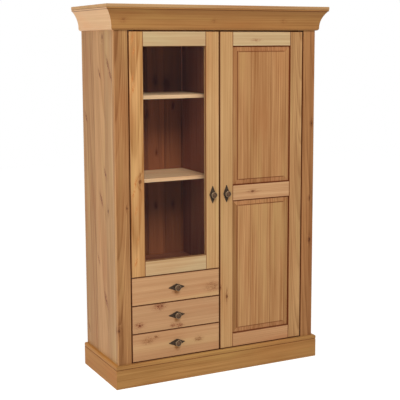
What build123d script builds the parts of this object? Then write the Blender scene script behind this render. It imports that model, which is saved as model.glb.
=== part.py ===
from build123d import *
import os

os.makedirs("parts", exist_ok=True)

# A solid pine display cabinet, in millimetres: +X to the right, +Y to the back, +Z up.
# A glazed door stands over three drawers, beside a tall door with two raised panels.
# The origin is on the floor, at the centre of the cabinet's outer box.

# Overall sizes
HEIGHT = 1800.0
CARCASS_WIDTH = 1084.0
CARCASS_DEPTH = 421.0
CORNICE_OVERHANG = 50.0

# Boards of the carcass
SIDE_THICK = 22.0
POST_WIDTH = 69.0
POST_ROUND = 3.0
PANEL_THICK = 18.0
PARTITION_THICK = 19.0
TOP_BOARD_THICK = 15.0
TOP_BOARD_ROUND = 2.0
BACK_RECESS = 17.0
BACK_THICK = 12.0
FLOOR_SETBACK = 6.0
ARRIS = 1.5

# Back boards, tongued and grooved
BOARD_PITCH = 95.0
BOARD_FIRST_JOINT = -493.0
BOARD_TONGUE = 6.0
BOARD_TONGUE_THICK = 4.0
BOARD_TONGUE_FIT = 0.3
BOARD_VEE = 1.5

# Plinth and its bead
PLINTH_HEIGHT = 112.0
PLINTH_THICK = 16.0
PLINTH_BEAD = 18.0
PLINTH_ROUND = 6.0
PLINTH_QUIRK = 2.5

# Cornice moulding: a rounded nose, a hollow and a bead under the top board
CORNICE_HEIGHT = 101.0
CORNICE_NOSE = 14.5
CORNICE_NOSE_ROUND = 12.0
CORNICE_NOSE_HEIGHT = 13.0
CORNICE_BEAD = 8.0
CORNICE_BEAD_SETBACK = 0.5

# Doors and drawer fronts
DOOR_THICK = 22.0
DOOR_STOP_GAP = 2.0
SIDE_GAP = 5.0
MEETING_GAP = 6.5
TOP_GAP = 5.5
BOTTOM_GAP = 4.0
STILE_WIDTH = 70.0
TOP_RAIL = 69.0
MIDDLE_RAIL = 76.0
GLASS_DOOR_BOTTOM_RAIL = 72.0
PANEL_DOOR_BOTTOM_RAIL = 68.0
GLASS_DOOR_BOTTOM = 529.0
KNOB_HEIGHT = 895.0

# Joints of the door frames
TENON_LENGTH = 30.0
GROOVE_DEPTH = 10.0
GROOVE_WIDTH = 8.0
GROOVE_LIP = 7.0

# Raised panels
PANEL_EDGE_GAP = 1.0
PANEL_FACE_GAP = 0.25
PANEL_BEVEL = 26.0
PANEL_BEVEL_RISE = 3.2
PANEL_STEP = 1.6

# Glass and its beads
GLASS_THICK = 4.0
GLASS_EDGE_GAP = 1.0
GLASS_LIP = 9.0
REBATE_WIDTH = 10.0
GLAZING_ROUND = 3.0

# Shelves
SHELF_THICK = 18.0
SHELF_SETBACK = 96.0
SHELF_END_GAP = 1.0
LEFT_SHELF_SHARES = (0.387, 0.734)
RIGHT_SHELVES = 3
SHELF_PIN_RADIUS = 2.5
SHELF_PIN_FIT = 0.05
SHELF_PIN_IN = 8.0
SHELF_PIN_OUT = 9.0
SHELF_PIN_INSET = 40.0

# Drawers and their wooden runners
MIDDLE_FLOOR_TOP = 536.0
DRAWERS = 3
DRAWER_GAP = 3.5
DRAWER_WALL = 12.0
DRAWER_WALL_HEIGHT = 100.0
DRAWER_WALL_LIFT = 14.0
DRAWER_BACK_GAP = 30.0
DRAWER_SIDE_CLEARANCE = 6.0
DRAWER_BOTTOM_THICK = 6.0
DRAWER_BOTTOM_LIFT = 8.0
DRAWER_BOTTOM_TONGUE = 5.0
RUNNER_HEIGHT = 15.0
RUNNER_WIDTH = 10.0
RUNNER_END_GAP = 1.0
RUNNER_TOP_GAP = 0.3
RUNNER_UNDER_GAP = 0.7
RUNNER_FRONT_SETBACK = 8.0
RUNNER_BACK_GAP = 20.0
DRAWER_SIDE_BOARD = 18.0

# Knobs and their diamond plates
PLATE_LENGTH = 90.0
PLATE_WIDTH = 36.0
PLATE_THICK = 2.5
PLATE_EDGE = 0.8
PLATE_TIP_ROUND = 1.5
KNOB_RADIUS = 15.5
KNOB_FOOT_RADIUS = 8.0
KNOB_FOOT_HEIGHT = 1.5
KNOB_FOOT_TAPER = 2.5
KNOB_NECK_RADIUS = 5.5
KNOB_NECK_HEIGHT = 7.0
KNOB_RIM_HEIGHT = 4.0
KNOB_RIM_ROUND = 1.5
KNOB_RING_WIDTH = 3.5
KNOB_RING_STEP = 0.8
KNOB_DOME = 3.0
SCREW_RADIUS = 2.0
SCREW_CLEARANCE = 0.5
SCREW_IN_KNOB = 8.0
SCREW_HEAD_RADIUS = 4.2
SCREW_HEAD_HEIGHT = 2.6

# Pivot hinges in the corners of the doors
PIVOT_INSET = 14.0
PIVOT_DEPTH = 8.0
PIVOT_RADIUS = 3.0
PIVOT_RUNNING_FIT = 0.05
PIVOT_SEAT_GAP = 0.3
PIVOT_LENGTH = 12.0
PIVOT_COLLAR_RADIUS = 5.5
PIVOT_PLATE_THICK = 2.0
PIVOT_PLATE_WIDTH = 14.0
PIVOT_PLATE_BEYOND = 8.0
PIVOT_FLANGE = 30.0
PIVOT_DRAWER_GAP = 0.5
BUSH_RADIUS = 5.0
BUSH_LENGTH = 14.0
HINGE_SCREW_RADIUS = 1.5
HINGE_SCREW_HEAD = 3.2
HINGE_SCREW_LENGTH = 16.0
HINGE_SCREW_FIT = 0.05
HINGE_SCREW_SPACING = 16.0

# Magnetic catches under the ceiling
CATCH_LENGTH = 40.0
CATCH_DEPTH = 20.0
CATCH_HEIGHT = 14.0
CATCH_INSET = 36.0
CATCH_GAP = 0.3
STRIKE_LENGTH = 34.0
STRIKE_HEIGHT = 14.0
STRIKE_THICK = 1.5
STRIKE_TOP_GAP = 1.5

# Planes that several pieces share
LEFT = -CARCASS_WIDTH / 2
RIGHT = CARCASS_WIDTH / 2
FRONT = -(CARCASS_DEPTH + CORNICE_OVERHANG) / 2 + CORNICE_OVERHANG
BACK = FRONT + CARCASS_DEPTH
CARCASS_TOP = HEIGHT - TOP_BOARD_THICK
CEILING = CARCASS_TOP - CORNICE_HEIGHT
POST_THICK = DOOR_THICK + DOOR_STOP_GAP
INNER_FRONT = FRONT + POST_THICK
INNER_LEFT = LEFT + SIDE_THICK
INNER_RIGHT = RIGHT - SIDE_THICK
INNER_BACK = BACK - BACK_RECESS - BACK_THICK
POST_LEFT = LEFT + POST_WIDTH
POST_RIGHT = RIGHT - POST_WIDTH
DOOR_BACK = FRONT + DOOR_THICK
DOOR_LEFT = POST_LEFT + SIDE_GAP
DOOR_RIGHT = POST_RIGHT - SIDE_GAP
MEETING = MEETING_GAP / 2
DOOR_TOP = CEILING - TOP_GAP
DOOR_BOTTOM = PLINTH_HEIGHT + BOTTOM_GAP
SHELF_BACK = INNER_BACK - SHELF_END_GAP
SHELF_FRONT = FRONT + SHELF_SETBACK
DRAWER_BACK = INNER_BACK - DRAWER_BACK_GAP

AXES = {"x": Axis.X, "y": Axis.Y, "z": Axis.Z}
TURNS = {"x": Rot(0, 90, 0), "y": Rot(-90, 0, 0), "z": Rot(0, 0, 0)}
SAME_PLACE = 0.01


def block(x0, x1, y0, y1, z0, z1):
    """A square-edged board between two opposite corners."""
    return Pos((x0 + x1) / 2, (y0 + y1) / 2, (z0 + z1) / 2) * Box(x1 - x0, y1 - y0, z1 - z0)


def rod(along, start, radius, length):
    """A round rod from a point along one axis; a negative length runs the other way."""
    body = Cylinder(radius, abs(length), align=(Align.CENTER, Align.CENTER, Align.MIN))
    return Pos(*start) * TURNS[along] * Pos(0, 0, min(length, 0)) * body


def rounded(solid, radius, along, x=None, y=None, z=None):
    """The solid with its edges along one axis rounded where their middles lie at the given places."""
    def wanted(edge):
        middle = edge.center()
        pairs = ((middle.X, x), (middle.Y, y), (middle.Z, z))
        return all(place is None or abs(value - place) < SAME_PLACE for value, place in pairs)
    return fillet([edge for edge in solid.edges().filter_by(AXES[along]) if wanted(edge)], radius)


def soft_front(solid, radius=ARRIS):
    """The solid with every edge of its front face rounded."""
    return fillet(solid.faces().sort_by(Axis.Y)[0].edges(), radius)


def save(name, *pieces):
    """Write one sub-part; several pieces stay separate solids in one file."""
    solids = [solid for piece in pieces for solid in piece.solids()]
    shape = solids[0] if len(solids) == 1 else Compound(solids)
    export_step(shape, f"parts/{name}.step")


# Mouldings: a profile of (standing out, height) is run along one wall of the carcass
def cornice_profile():
    """A rounded nose at the foot, a hollow above it and a half-round bead under the top board."""
    nose_top = CEILING + CORNICE_NOSE_HEIGHT
    bead_out = CORNICE_OVERHANG - CORNICE_BEAD_SETBACK - CORNICE_BEAD / 2
    bead_low = CARCASS_TOP - CORNICE_BEAD
    nose_start = (CORNICE_NOSE - CORNICE_NOSE_ROUND, CEILING)
    nose_end = (CORNICE_NOSE, CEILING + CORNICE_NOSE_ROUND)
    bead_tip = (bead_out + CORNICE_BEAD / 2, bead_low + CORNICE_BEAD / 2)
    outline = [
        Line((0, CEILING), nose_start),
        TangentArc(nose_start, nose_end, tangent=(1, 0)),
        Line(nose_end, (CORNICE_NOSE, nose_top)),
        TangentArc((CORNICE_NOSE, nose_top), (bead_out, bead_low), tangent=(0, 1)),
        ThreePointArc((bead_out, bead_low), bead_tip, (bead_out, CARCASS_TOP)),
        Line((bead_out, CARCASS_TOP), (0, CARCASS_TOP)),
        Line((0, CARCASS_TOP), (0, CEILING)),
    ]
    return make_face(outline)


def plinth_profile():
    """A flat skirting board with a sunk line and a rounded bead along its top."""
    line = PLINTH_HEIGHT - PLINTH_BEAD
    round_start = (PLINTH_THICK, PLINTH_HEIGHT - PLINTH_ROUND)
    round_end = (PLINTH_THICK - PLINTH_ROUND, PLINTH_HEIGHT)
    outline = [
        Line((0, 0), (PLINTH_THICK, 0)),
        Line((PLINTH_THICK, 0), (PLINTH_THICK, line - PLINTH_QUIRK)),
        Line((PLINTH_THICK, line - PLINTH_QUIRK), (PLINTH_THICK - PLINTH_QUIRK, line)),
        Line((PLINTH_THICK - PLINTH_QUIRK, line), (PLINTH_THICK, line + PLINTH_QUIRK / 2)),
        Line((PLINTH_THICK, line + PLINTH_QUIRK / 2), round_start),
        TangentArc(round_start, round_end, tangent=(0, 1)),
        Line(round_end, (0, PLINTH_HEIGHT)),
        Line((0, PLINTH_HEIGHT), (0, 0)),
    ]
    return make_face(outline)


def run_along(profile, start, outward, length):
    """The profile pushed along a wall; outward is the way that it stands off the wall."""
    along = Vector(*outward).cross(Vector(0, 0, 1))
    return extrude(Plane(origin=start, x_dir=outward, z_dir=along) * profile, length)


def plan_prism(points, z0, z1):
    """A prism that stands on a plan drawn from above."""
    return Pos(0, 0, z0) * extrude(make_face(Polyline(*points, close=True)), z1 - z0)


def wrap_moulding(name, profile, reach, z0, z1):
    """Three lengths of moulding round the front and sides, mitred at the front corners."""
    width = CARCASS_WIDTH + 2 * reach
    depth = CARCASS_DEPTH + reach
    corner_left = (LEFT - reach, FRONT - reach)
    corner_right = (RIGHT + reach, FRONT - reach)
    front_plan = [(LEFT, FRONT), (RIGHT, FRONT), corner_right, corner_left]
    left_plan = [(LEFT, FRONT), corner_left, (LEFT - reach, BACK), (LEFT, BACK)]
    right_plan = [(RIGHT, FRONT), corner_right, (RIGHT + reach, BACK), (RIGHT, BACK)]
    front = run_along(profile, (RIGHT + reach, FRONT, 0), (0, -1, 0), width)
    left = run_along(profile, (LEFT, FRONT - reach, 0), (-1, 0, 0), depth)
    right = run_along(profile, (RIGHT, BACK, 0), (1, 0, 0), depth)
    save(f"{name}_front", front & plan_prism(front_plan, z0, z1))
    save(f"{name}_left", left & plan_prism(left_plan, z0, z1))
    save(f"{name}_right", right & plan_prism(right_plan, z0, z1))


# Shelves stand on round pins let into the sides and the partition
def left_shelf_tops():
    """The shelves behind the glass, at set shares of the height of their compartment."""
    return [MIDDLE_FLOOR_TOP + share * (CEILING - MIDDLE_FLOOR_TOP) for share in LEFT_SHELF_SHARES]


def right_shelf_tops():
    """The shelves behind the panel door, spaced evenly between the floor and the ceiling."""
    step = (CEILING - PLINTH_HEIGHT) / (RIGHT_SHELVES + 1)
    return [PLINTH_HEIGHT + step * (count + 1) for count in range(RIGHT_SHELVES)]


def shelf_pin_places(tops):
    """Depth and height of each pin that carries the shelves with these tops."""
    depths = (SHELF_FRONT + SHELF_PIN_INSET, SHELF_BACK - SHELF_PIN_INSET)
    return [(y, top - SHELF_THICK - SHELF_PIN_RADIUS) for top in tops for y in depths]


def drill_for_pins(board, wall, into, tops):
    """The board with a hole for each shelf pin; into is -1 or +1 along X, into the wood."""
    for y, z in shelf_pin_places(tops):
        board -= rod("x", (wall, y, z), SHELF_PIN_RADIUS + SHELF_PIN_FIT, into * SHELF_PIN_IN)
    return board


def shelf_pins():
    """Every shelf pin, half in its hole and half under its shelf."""
    length = SHELF_PIN_IN + SHELF_PIN_OUT
    walls = (
        (INNER_LEFT, 1, left_shelf_tops()),
        (-PARTITION_THICK / 2, -1, left_shelf_tops()),
        (PARTITION_THICK / 2, 1, right_shelf_tops()),
        (INNER_RIGHT, -1, right_shelf_tops()),
    )
    pins = []
    for wall, out, tops in walls:
        for y, z in shelf_pin_places(tops):
            pins.append(rod("x", (wall - out * SHELF_PIN_IN, y, z), SHELF_PIN_RADIUS, out * length))
    return pins


def shelf(x0, x1, top):
    """One loose shelf with a softened front edge."""
    board = block(x0 + SHELF_END_GAP, x1 - SHELF_END_GAP, SHELF_FRONT, SHELF_BACK, top - SHELF_THICK, top)
    return soft_front(board)


def make_shelves():
    for name, top in zip(("lower", "upper"), left_shelf_tops()):
        save(f"left_shelf_{name}", shelf(INNER_LEFT, -PARTITION_THICK / 2, top))
    for name, top in zip(("lower", "middle", "upper"), right_shelf_tops()):
        save(f"right_shelf_{name}", shelf(PARTITION_THICK / 2, INNER_RIGHT, top))
    save("shelf_pins", *shelf_pins())


# The carcass
def cross_board(z0, z1):
    """A level board between the sides, whose front reaches out between the posts."""
    inside = block(INNER_LEFT, INNER_RIGHT, INNER_FRONT, INNER_BACK, z0, z1)
    between_posts = block(POST_LEFT, POST_RIGHT, FRONT, INNER_FRONT, z0, z1)
    return inside + between_posts


def side_panel(x0, x1, wall, into, tops):
    """A glued-up side, drilled on its inner face."""
    return drill_for_pins(block(x0, x1, INNER_FRONT, BACK, 0, CARCASS_TOP), wall, into, tops)


def post(x0, x1, outer, inner):
    """A front post, rounded at its outer corner, softened at its inner one, drilled for its hinges."""
    board = block(x0, x1, FRONT, INNER_FRONT, 0, CARCASS_TOP)
    board = rounded(board, POST_ROUND, "z", x=outer, y=FRONT)
    board = rounded(board, ARRIS, "z", x=inner, y=FRONT)
    for place in hinge_places():
        for screw in hinge_screw_starts(*place):
            board -= rod("x", screw, HINGE_SCREW_RADIUS + HINGE_SCREW_FIT, HINGE_SCREW_LENGTH)
            board -= rod("x", screw, HINGE_SCREW_RADIUS + HINGE_SCREW_FIT, -HINGE_SCREW_LENGTH)
    return board


def back_board(x0, x1, has_tongue, has_groove):
    """One board of the back; the tongue is on its right edge and the groove in its left."""
    low = PLINTH_HEIGHT - PANEL_THICK
    middle = INNER_BACK + BACK_THICK / 2
    board = block(x0, x1, INNER_BACK, INNER_BACK + BACK_THICK, low, CARCASS_TOP)
    if has_groove:
        half = BOARD_TONGUE_THICK / 2 + BOARD_TONGUE_FIT
        reach = x0 + BOARD_TONGUE + BOARD_TONGUE_FIT
        board -= block(x0, reach, middle - half, middle + half, low, CARCASS_TOP)
        board -= vee(x0, low)
    if has_tongue:
        half = BOARD_TONGUE_THICK / 2
        board -= vee(x1, low)
        board += block(x1, x1 + BOARD_TONGUE, middle - half, middle + half, low, CARCASS_TOP)
    return board


def vee(x, low):
    """The small bevel that leaves a line between two back boards, on their inner face."""
    points = [(x - BOARD_VEE, INNER_BACK), (x, INNER_BACK + BOARD_VEE), (x + BOARD_VEE, INNER_BACK)]
    return plan_prism(points, low, CARCASS_TOP)


def back_boards():
    """The row of back boards; the first and last are cut to the space left at the sides."""
    joints = []
    x = BOARD_FIRST_JOINT
    while x < INNER_RIGHT - 2 * BOARD_TONGUE:
        if x > INNER_LEFT + 2 * BOARD_TONGUE:
            joints.append(x)
        x += BOARD_PITCH
    starts = [INNER_LEFT] + joints
    ends = joints + [INNER_RIGHT]
    last = len(starts) - 1
    return [back_board(x0, x1, count < last, count > 0)
            for count, (x0, x1) in enumerate(zip(starts, ends))]


def top_board():
    """The board that covers the cabinet, with a softened edge at the front and sides."""
    x0 = LEFT - CORNICE_OVERHANG
    x1 = RIGHT + CORNICE_OVERHANG
    board = block(x0, x1, FRONT - CORNICE_OVERHANG, BACK, CARCASS_TOP, HEIGHT)
    level = board.edges().filter_by(Axis.Z, reverse=True)
    return fillet([edge for edge in level if edge.center().Y < BACK - SAME_PLACE], TOP_BOARD_ROUND)


def partition():
    """The upright board between the two halves, drilled on both faces."""
    half = PARTITION_THICK / 2
    board = block(-half, half, INNER_FRONT, INNER_BACK, PLINTH_HEIGHT, CEILING)
    board = drill_for_pins(board, -half, 1, left_shelf_tops())
    return drill_for_pins(board, half, -1, right_shelf_tops())


def make_carcass():
    floor_low = MIDDLE_FLOOR_TOP - PANEL_THICK
    save("side_left", side_panel(LEFT, INNER_LEFT, INNER_LEFT, -1, left_shelf_tops()))
    save("side_right", side_panel(INNER_RIGHT, RIGHT, INNER_RIGHT, 1, right_shelf_tops()))
    save("post_left", post(LEFT, POST_LEFT, LEFT, POST_LEFT))
    save("post_right", post(POST_RIGHT, RIGHT, RIGHT, POST_RIGHT))
    save("ceiling_panel", cross_board(CEILING, CEILING + PANEL_THICK))
    save("bottom_panel", cross_board(PLINTH_HEIGHT - PANEL_THICK, PLINTH_HEIGHT))
    save("partition", partition())
    save("middle_floor", block(INNER_LEFT, -PARTITION_THICK / 2, INNER_FRONT + FLOOR_SETBACK, INNER_BACK,
                               floor_low, MIDDLE_FLOOR_TOP))
    save("drawer_side_board", block(POST_LEFT - DRAWER_SIDE_BOARD, POST_LEFT, INNER_FRONT, INNER_BACK,
                                    PLINTH_HEIGHT, floor_low))
    save("back_boards", *back_boards())
    save("top_board", top_board())
    wrap_moulding("cornice", cornice_profile(), CORNICE_OVERHANG, CEILING, CARCASS_TOP)
    wrap_moulding("plinth", plinth_profile(), PLINTH_THICK, 0, PLINTH_HEIGHT)


# Door frames: rails are tenoned into the stiles; a groove or rebate holds what they frame
def tenon(x, out, z0, z1, groove_low, groove_high):
    """A rail's tenon with its shallow haunch; out is the way that it leaves the rail along X."""
    y0 = FRONT + GROOVE_LIP
    y1 = y0 + GROOVE_WIDTH
    low = z0 + (GROOVE_DEPTH if groove_low else 0)
    high = z1 - (GROOVE_DEPTH if groove_high else 0)
    haunch_ends = sorted((x, x + out * GROOVE_DEPTH))
    core_ends = sorted((x, x + out * TENON_LENGTH))
    haunch = block(*haunch_ends, y0, y1, low, high)
    core = block(*core_ends, y0, y1, z0 + GROOVE_DEPTH, z1 - GROOVE_DEPTH)
    return haunch + core


def slot(x0, x1, z0, z1):
    """The groove for a panel, as the space to cut away."""
    return block(x0, x1, FRONT + GROOVE_LIP, FRONT + GROOVE_LIP + GROOVE_WIDTH, z0, z1)


def rebate(x0, x1, z0, z1):
    """The step behind the front lip that takes the glass, as the space to cut away."""
    return block(x0, x1, FRONT + GLASS_LIP, DOOR_BACK, z0, z1)


def knob_hole(x, z):
    """The hole for a knob's screw through a board of the front."""
    return rod("y", (x, FRONT, z), SCREW_RADIUS + SCREW_CLEARANCE, DOOR_THICK)


def bush_hole(x, z, up):
    """The hole for a pivot bush in a door's top or bottom edge."""
    return rod("z", (x, FRONT + PIVOT_DEPTH, z), BUSH_RADIUS, up * BUSH_LENGTH)


def panel_rail(x0, x1, z0, z1, groove_low, groove_high):
    """A rail of the panel door, grooved where a panel meets it."""
    rail = soft_front(block(x0, x1, FRONT, DOOR_BACK, z0, z1))
    rail += tenon(x0, -1, z0, z1, groove_low, groove_high)
    rail += tenon(x1, 1, z0, z1, groove_low, groove_high)
    if groove_low:
        rail -= slot(x0, x1, z0, z0 + GROOVE_DEPTH)
    if groove_high:
        rail -= slot(x0, x1, z1 - GROOVE_DEPTH, z1)
    return rail


def glass_rail(x0, x1, z0, z1, glass_above):
    """A rail of the glass door, rebated along the edge that meets the glass."""
    rail = soft_front(block(x0, x1, FRONT, DOOR_BACK, z0, z1))
    rail += glass_tenon(x0, -1, z0, z1, glass_above)
    rail += glass_tenon(x1, 1, z0, z1, glass_above)
    if glass_above:
        return rail - rebate(x0, x1, z1 - REBATE_WIDTH, z1)
    return rail - rebate(x0, x1, z0, z0 + REBATE_WIDTH)


def glass_tenon(x, out, z0, z1, glass_above):
    """A tenon kept clear of the rebate."""
    low = z0 + GROOVE_DEPTH + (0 if glass_above else REBATE_WIDTH)
    high = z1 - GROOVE_DEPTH - (REBATE_WIDTH if glass_above else 0)
    ends = sorted((x, x + out * TENON_LENGTH))
    return slot(*ends, low, high)


def stile(x0, x1, z0, z1):
    """A bare stile."""
    return soft_front(block(x0, x1, FRONT, DOOR_BACK, z0, z1))


def make_panel_door():
    x0 = MEETING
    x1 = DOOR_RIGHT
    z0 = DOOR_BOTTOM
    z1 = DOOR_TOP
    left_inner = x0 + STILE_WIDTH
    right_inner = x1 - STILE_WIDTH
    middle_low = KNOB_HEIGHT - MIDDLE_RAIL / 2
    middle_high = KNOB_HEIGHT + MIDDLE_RAIL / 2
    rails = {
        "top": (z1 - TOP_RAIL, z1, True, False),
        "middle": (middle_low, middle_high, True, True),
        "bottom": (z0, z0 + PANEL_DOOR_BOTTOM_RAIL, False, True),
    }
    left = stile(x0, left_inner, z0, z1) - slot(left_inner - GROOVE_DEPTH, left_inner, z0, z1)
    right = stile(right_inner, x1, z0, z1) - slot(right_inner, right_inner + GROOVE_DEPTH, z0, z1)
    for name, (low, high, groove_low, groove_high) in rails.items():
        save(f"panel_door_rail_{name}",
             panel_rail(left_inner, right_inner, low, high, groove_low, groove_high))
        left -= slot(left_inner - TENON_LENGTH, left_inner, low + GROOVE_DEPTH, high - GROOVE_DEPTH)
        right -= slot(right_inner, right_inner + TENON_LENGTH, low + GROOVE_DEPTH, high - GROOVE_DEPTH)
    knob_x = x0 + STILE_WIDTH / 2
    pivot_x = x1 - PIVOT_INSET
    left -= knob_hole(knob_x, KNOB_HEIGHT)
    right -= bush_hole(pivot_x, z0, 1)
    right -= bush_hole(pivot_x, z1, -1)
    save("panel_door_stile_knob", left)
    save("panel_door_stile_hinge", right)
    save("panel_door_panel_lower", raised_panel(left_inner, right_inner, z0 + PANEL_DOOR_BOTTOM_RAIL, middle_low))
    save("panel_door_panel_upper", raised_panel(left_inner, right_inner, middle_high, z1 - TOP_RAIL))
    make_knob("panel_door", knob_x, KNOB_HEIGHT, upright=True)
    save("panel_door_fittings", bush(pivot_x, z0, 1), bush(pivot_x, z1, -1), strike(x0 + CATCH_INSET))


def rectangle_at(x0, x1, z0, z1, y):
    """An upright rectangle, as a face that looks to the front."""
    place = Plane(origin=((x0 + x1) / 2, y, (z0 + z1) / 2), x_dir=(1, 0, 0), z_dir=(0, -1, 0))
    return place * Rectangle(x1 - x0, z1 - z0)


def raised_panel(x0, x1, z0, z1):
    """A panel whose edges sit in the grooves, with a wide bevel up to a raised field."""
    reach = GROOVE_DEPTH - PANEL_EDGE_GAP
    tongue_front = FRONT + GROOVE_LIP + PANEL_FACE_GAP
    tongue_back = FRONT + GROOVE_LIP + GROOVE_WIDTH - PANEL_FACE_GAP
    bevel_top = tongue_front - PANEL_BEVEL_RISE
    b = PANEL_BEVEL
    tongue = block(x0 - reach, x1 + reach, tongue_front, tongue_back, z0 - reach, z1 + reach)
    outer = rectangle_at(x0, x1, z0, z1, tongue_front)
    inner = rectangle_at(x0 + b, x1 - b, z0 + b, z1 - b, bevel_top)
    field = block(x0 + b, x1 - b, bevel_top - PANEL_STEP, bevel_top, z0 + b, z1 - b)
    return tongue + loft([outer, inner], ruled=True) + field


def make_glass_door():
    x0 = DOOR_LEFT
    x1 = -MEETING
    z0 = GLASS_DOOR_BOTTOM
    z1 = DOOR_TOP
    left_inner = x0 + STILE_WIDTH
    right_inner = x1 - STILE_WIDTH
    glass_low = z0 + GLASS_DOOR_BOTTOM_RAIL
    glass_high = z1 - TOP_RAIL
    w = REBATE_WIDTH
    left = stile(x0, left_inner, z0, z1) - rebate(left_inner - w, left_inner, glass_low - w, glass_high + w)
    right = stile(right_inner, x1, z0, z1) - rebate(right_inner, right_inner + w, glass_low - w, glass_high + w)
    rails = {"bottom": (z0, glass_low, True), "top": (glass_high, z1, False)}
    for name, (low, high, glass_above) in rails.items():
        save(f"glass_door_rail_{name}", glass_rail(left_inner, right_inner, low, high, glass_above))
        left -= glass_tenon(left_inner, -1, low, high, glass_above)
        right -= glass_tenon(right_inner, 1, low, high, glass_above)
    knob_x = x1 - STILE_WIDTH / 2
    pivot_x = x0 + PIVOT_INSET
    right -= knob_hole(knob_x, KNOB_HEIGHT)
    left -= bush_hole(pivot_x, z0, 1)
    left -= bush_hole(pivot_x, z1, -1)
    save("glass_door_stile_hinge", left)
    save("glass_door_stile_knob", right)
    inset = w - GLASS_EDGE_GAP
    glass_front = FRONT + GLASS_LIP
    save("glass_pane", block(left_inner - inset, right_inner + inset, glass_front, glass_front + GLASS_THICK,
                             glass_low - inset, glass_high + inset))
    save("glass_beads", *glazing_beads(left_inner, right_inner, glass_low, glass_high))
    make_knob("glass_door", knob_x, KNOB_HEIGHT, upright=True)
    save("glass_door_fittings", bush(pivot_x, z0, 1), bush(pivot_x, z1, -1), strike(x1 - CATCH_INSET))


def glazing_beads(x0, x1, z0, z1):
    """Four strips that hold the glass from behind, rounded where the hand reaches them."""
    w = REBATE_WIDTH
    y0 = FRONT + GLASS_LIP + GLASS_THICK
    y1 = DOOR_BACK
    left = rounded(block(x0 - w, x0, y0, y1, z0 - w, z1 + w), GLAZING_ROUND, "z", x=x0, y=y1)
    right = rounded(block(x1, x1 + w, y0, y1, z0 - w, z1 + w), GLAZING_ROUND, "z", x=x1, y=y1)
    bottom = rounded(block(x0, x1, y0, y1, z0 - w, z0), GLAZING_ROUND, "x", y=y1, z=z0)
    top = rounded(block(x0, x1, y0, y1, z1, z1 + w), GLAZING_ROUND, "x", y=y1, z=z1)
    return left, right, bottom, top


# Knobs: a diamond plate, a turned mushroom knob and the screw that holds both from behind
def diamond_plate(x, z, upright):
    """The flat diamond behind a knob, with bevelled edges and blunt tips."""
    half_length = PLATE_LENGTH / 2
    half_width = PLATE_WIDTH / 2
    if upright:
        corners = [(0, half_length), (half_width, 0), (0, -half_length), (-half_width, 0)]
    else:
        corners = [(half_length, 0), (0, half_width), (-half_length, 0), (0, -half_width)]
    outline = make_face(Polyline(*corners, close=True))
    outline = fillet(outline.vertices(), PLATE_TIP_ROUND)
    place = Plane(origin=(x, FRONT, z), x_dir=(1, 0, 0), z_dir=(0, -1, 0))
    plate = extrude(place * outline, PLATE_THICK)
    plate = chamfer(plate.faces().sort_by(Axis.Y)[0].edges(), PLATE_EDGE)
    return plate - rod("y", (x, FRONT, z), SCREW_RADIUS + SCREW_CLEARANCE, -PLATE_THICK)


def knob_profile():
    """Half of the knob's outline, as (radius, height above the plate)."""
    flare = KNOB_RADIUS - KNOB_RIM_ROUND - KNOB_NECK_RADIUS
    head_low = KNOB_NECK_HEIGHT + flare
    head_high = head_low + KNOB_RIM_HEIGHT
    rim = KNOB_RADIUS - KNOB_RIM_ROUND
    ring = rim - KNOB_RING_WIDTH
    dish = head_high - KNOB_RING_STEP
    foot_top = (KNOB_NECK_RADIUS, KNOB_FOOT_HEIGHT + KNOB_FOOT_TAPER)
    outline = [
        Line((0, 0), (KNOB_FOOT_RADIUS, 0)),
        Line((KNOB_FOOT_RADIUS, 0), (KNOB_FOOT_RADIUS, KNOB_FOOT_HEIGHT)),
        Line((KNOB_FOOT_RADIUS, KNOB_FOOT_HEIGHT), foot_top),
        Line(foot_top, (KNOB_NECK_RADIUS, KNOB_NECK_HEIGHT)),
        TangentArc((KNOB_NECK_RADIUS, KNOB_NECK_HEIGHT), (rim, head_low), tangent=(0, 1)),
        ThreePointArc((rim, head_low), (KNOB_RADIUS, (head_low + head_high) / 2), (rim, head_high)),
        Line((rim, head_high), (ring, head_high)),
        Line((ring, head_high), (ring, dish)),
        TangentArc((0, dish + KNOB_DOME), (ring, dish), tangent=(1, 0)),
        Line((0, dish + KNOB_DOME), (0, 0)),
    ]
    return make_face(outline)


def turned_knob(x, z):
    """The knob itself, with a blind hole for its screw."""
    foot = FRONT - PLATE_THICK
    body = revolve(Plane.XZ * knob_profile(), Axis.Z)
    body = Pos(x, foot, z) * Rot(90, 0, 0) * body
    return body - rod("y", (x, foot, z), SCREW_RADIUS, -SCREW_IN_KNOB)


def knob_screw(x, z):
    """The screw from inside the door or drawer into the knob."""
    length = DOOR_THICK + PLATE_THICK + SCREW_IN_KNOB
    shank = rod("y", (x, DOOR_BACK, z), SCREW_RADIUS, -length)
    return shank + rod("y", (x, DOOR_BACK, z), SCREW_HEAD_RADIUS, SCREW_HEAD_HEIGHT)


def make_knob(owner, x, z, upright):
    save(f"{owner}_knob_plate", diamond_plate(x, z, upright))
    save(f"{owner}_knob", turned_knob(x, z), knob_screw(x, z))


# Pivot hinges: an angle plate on the post, a shouldered pin, and a bush in the door's edge
def bush(x, z, up):
    """A bush let into a door's top or bottom edge, where the pin turns."""
    start = (x, FRONT + PIVOT_DEPTH, z)
    bore = PIVOT_RADIUS + PIVOT_RUNNING_FIT
    return rod("z", start, BUSH_RADIUS, up * BUSH_LENGTH) - rod("z", start, bore, up * BUSH_LENGTH)


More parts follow.
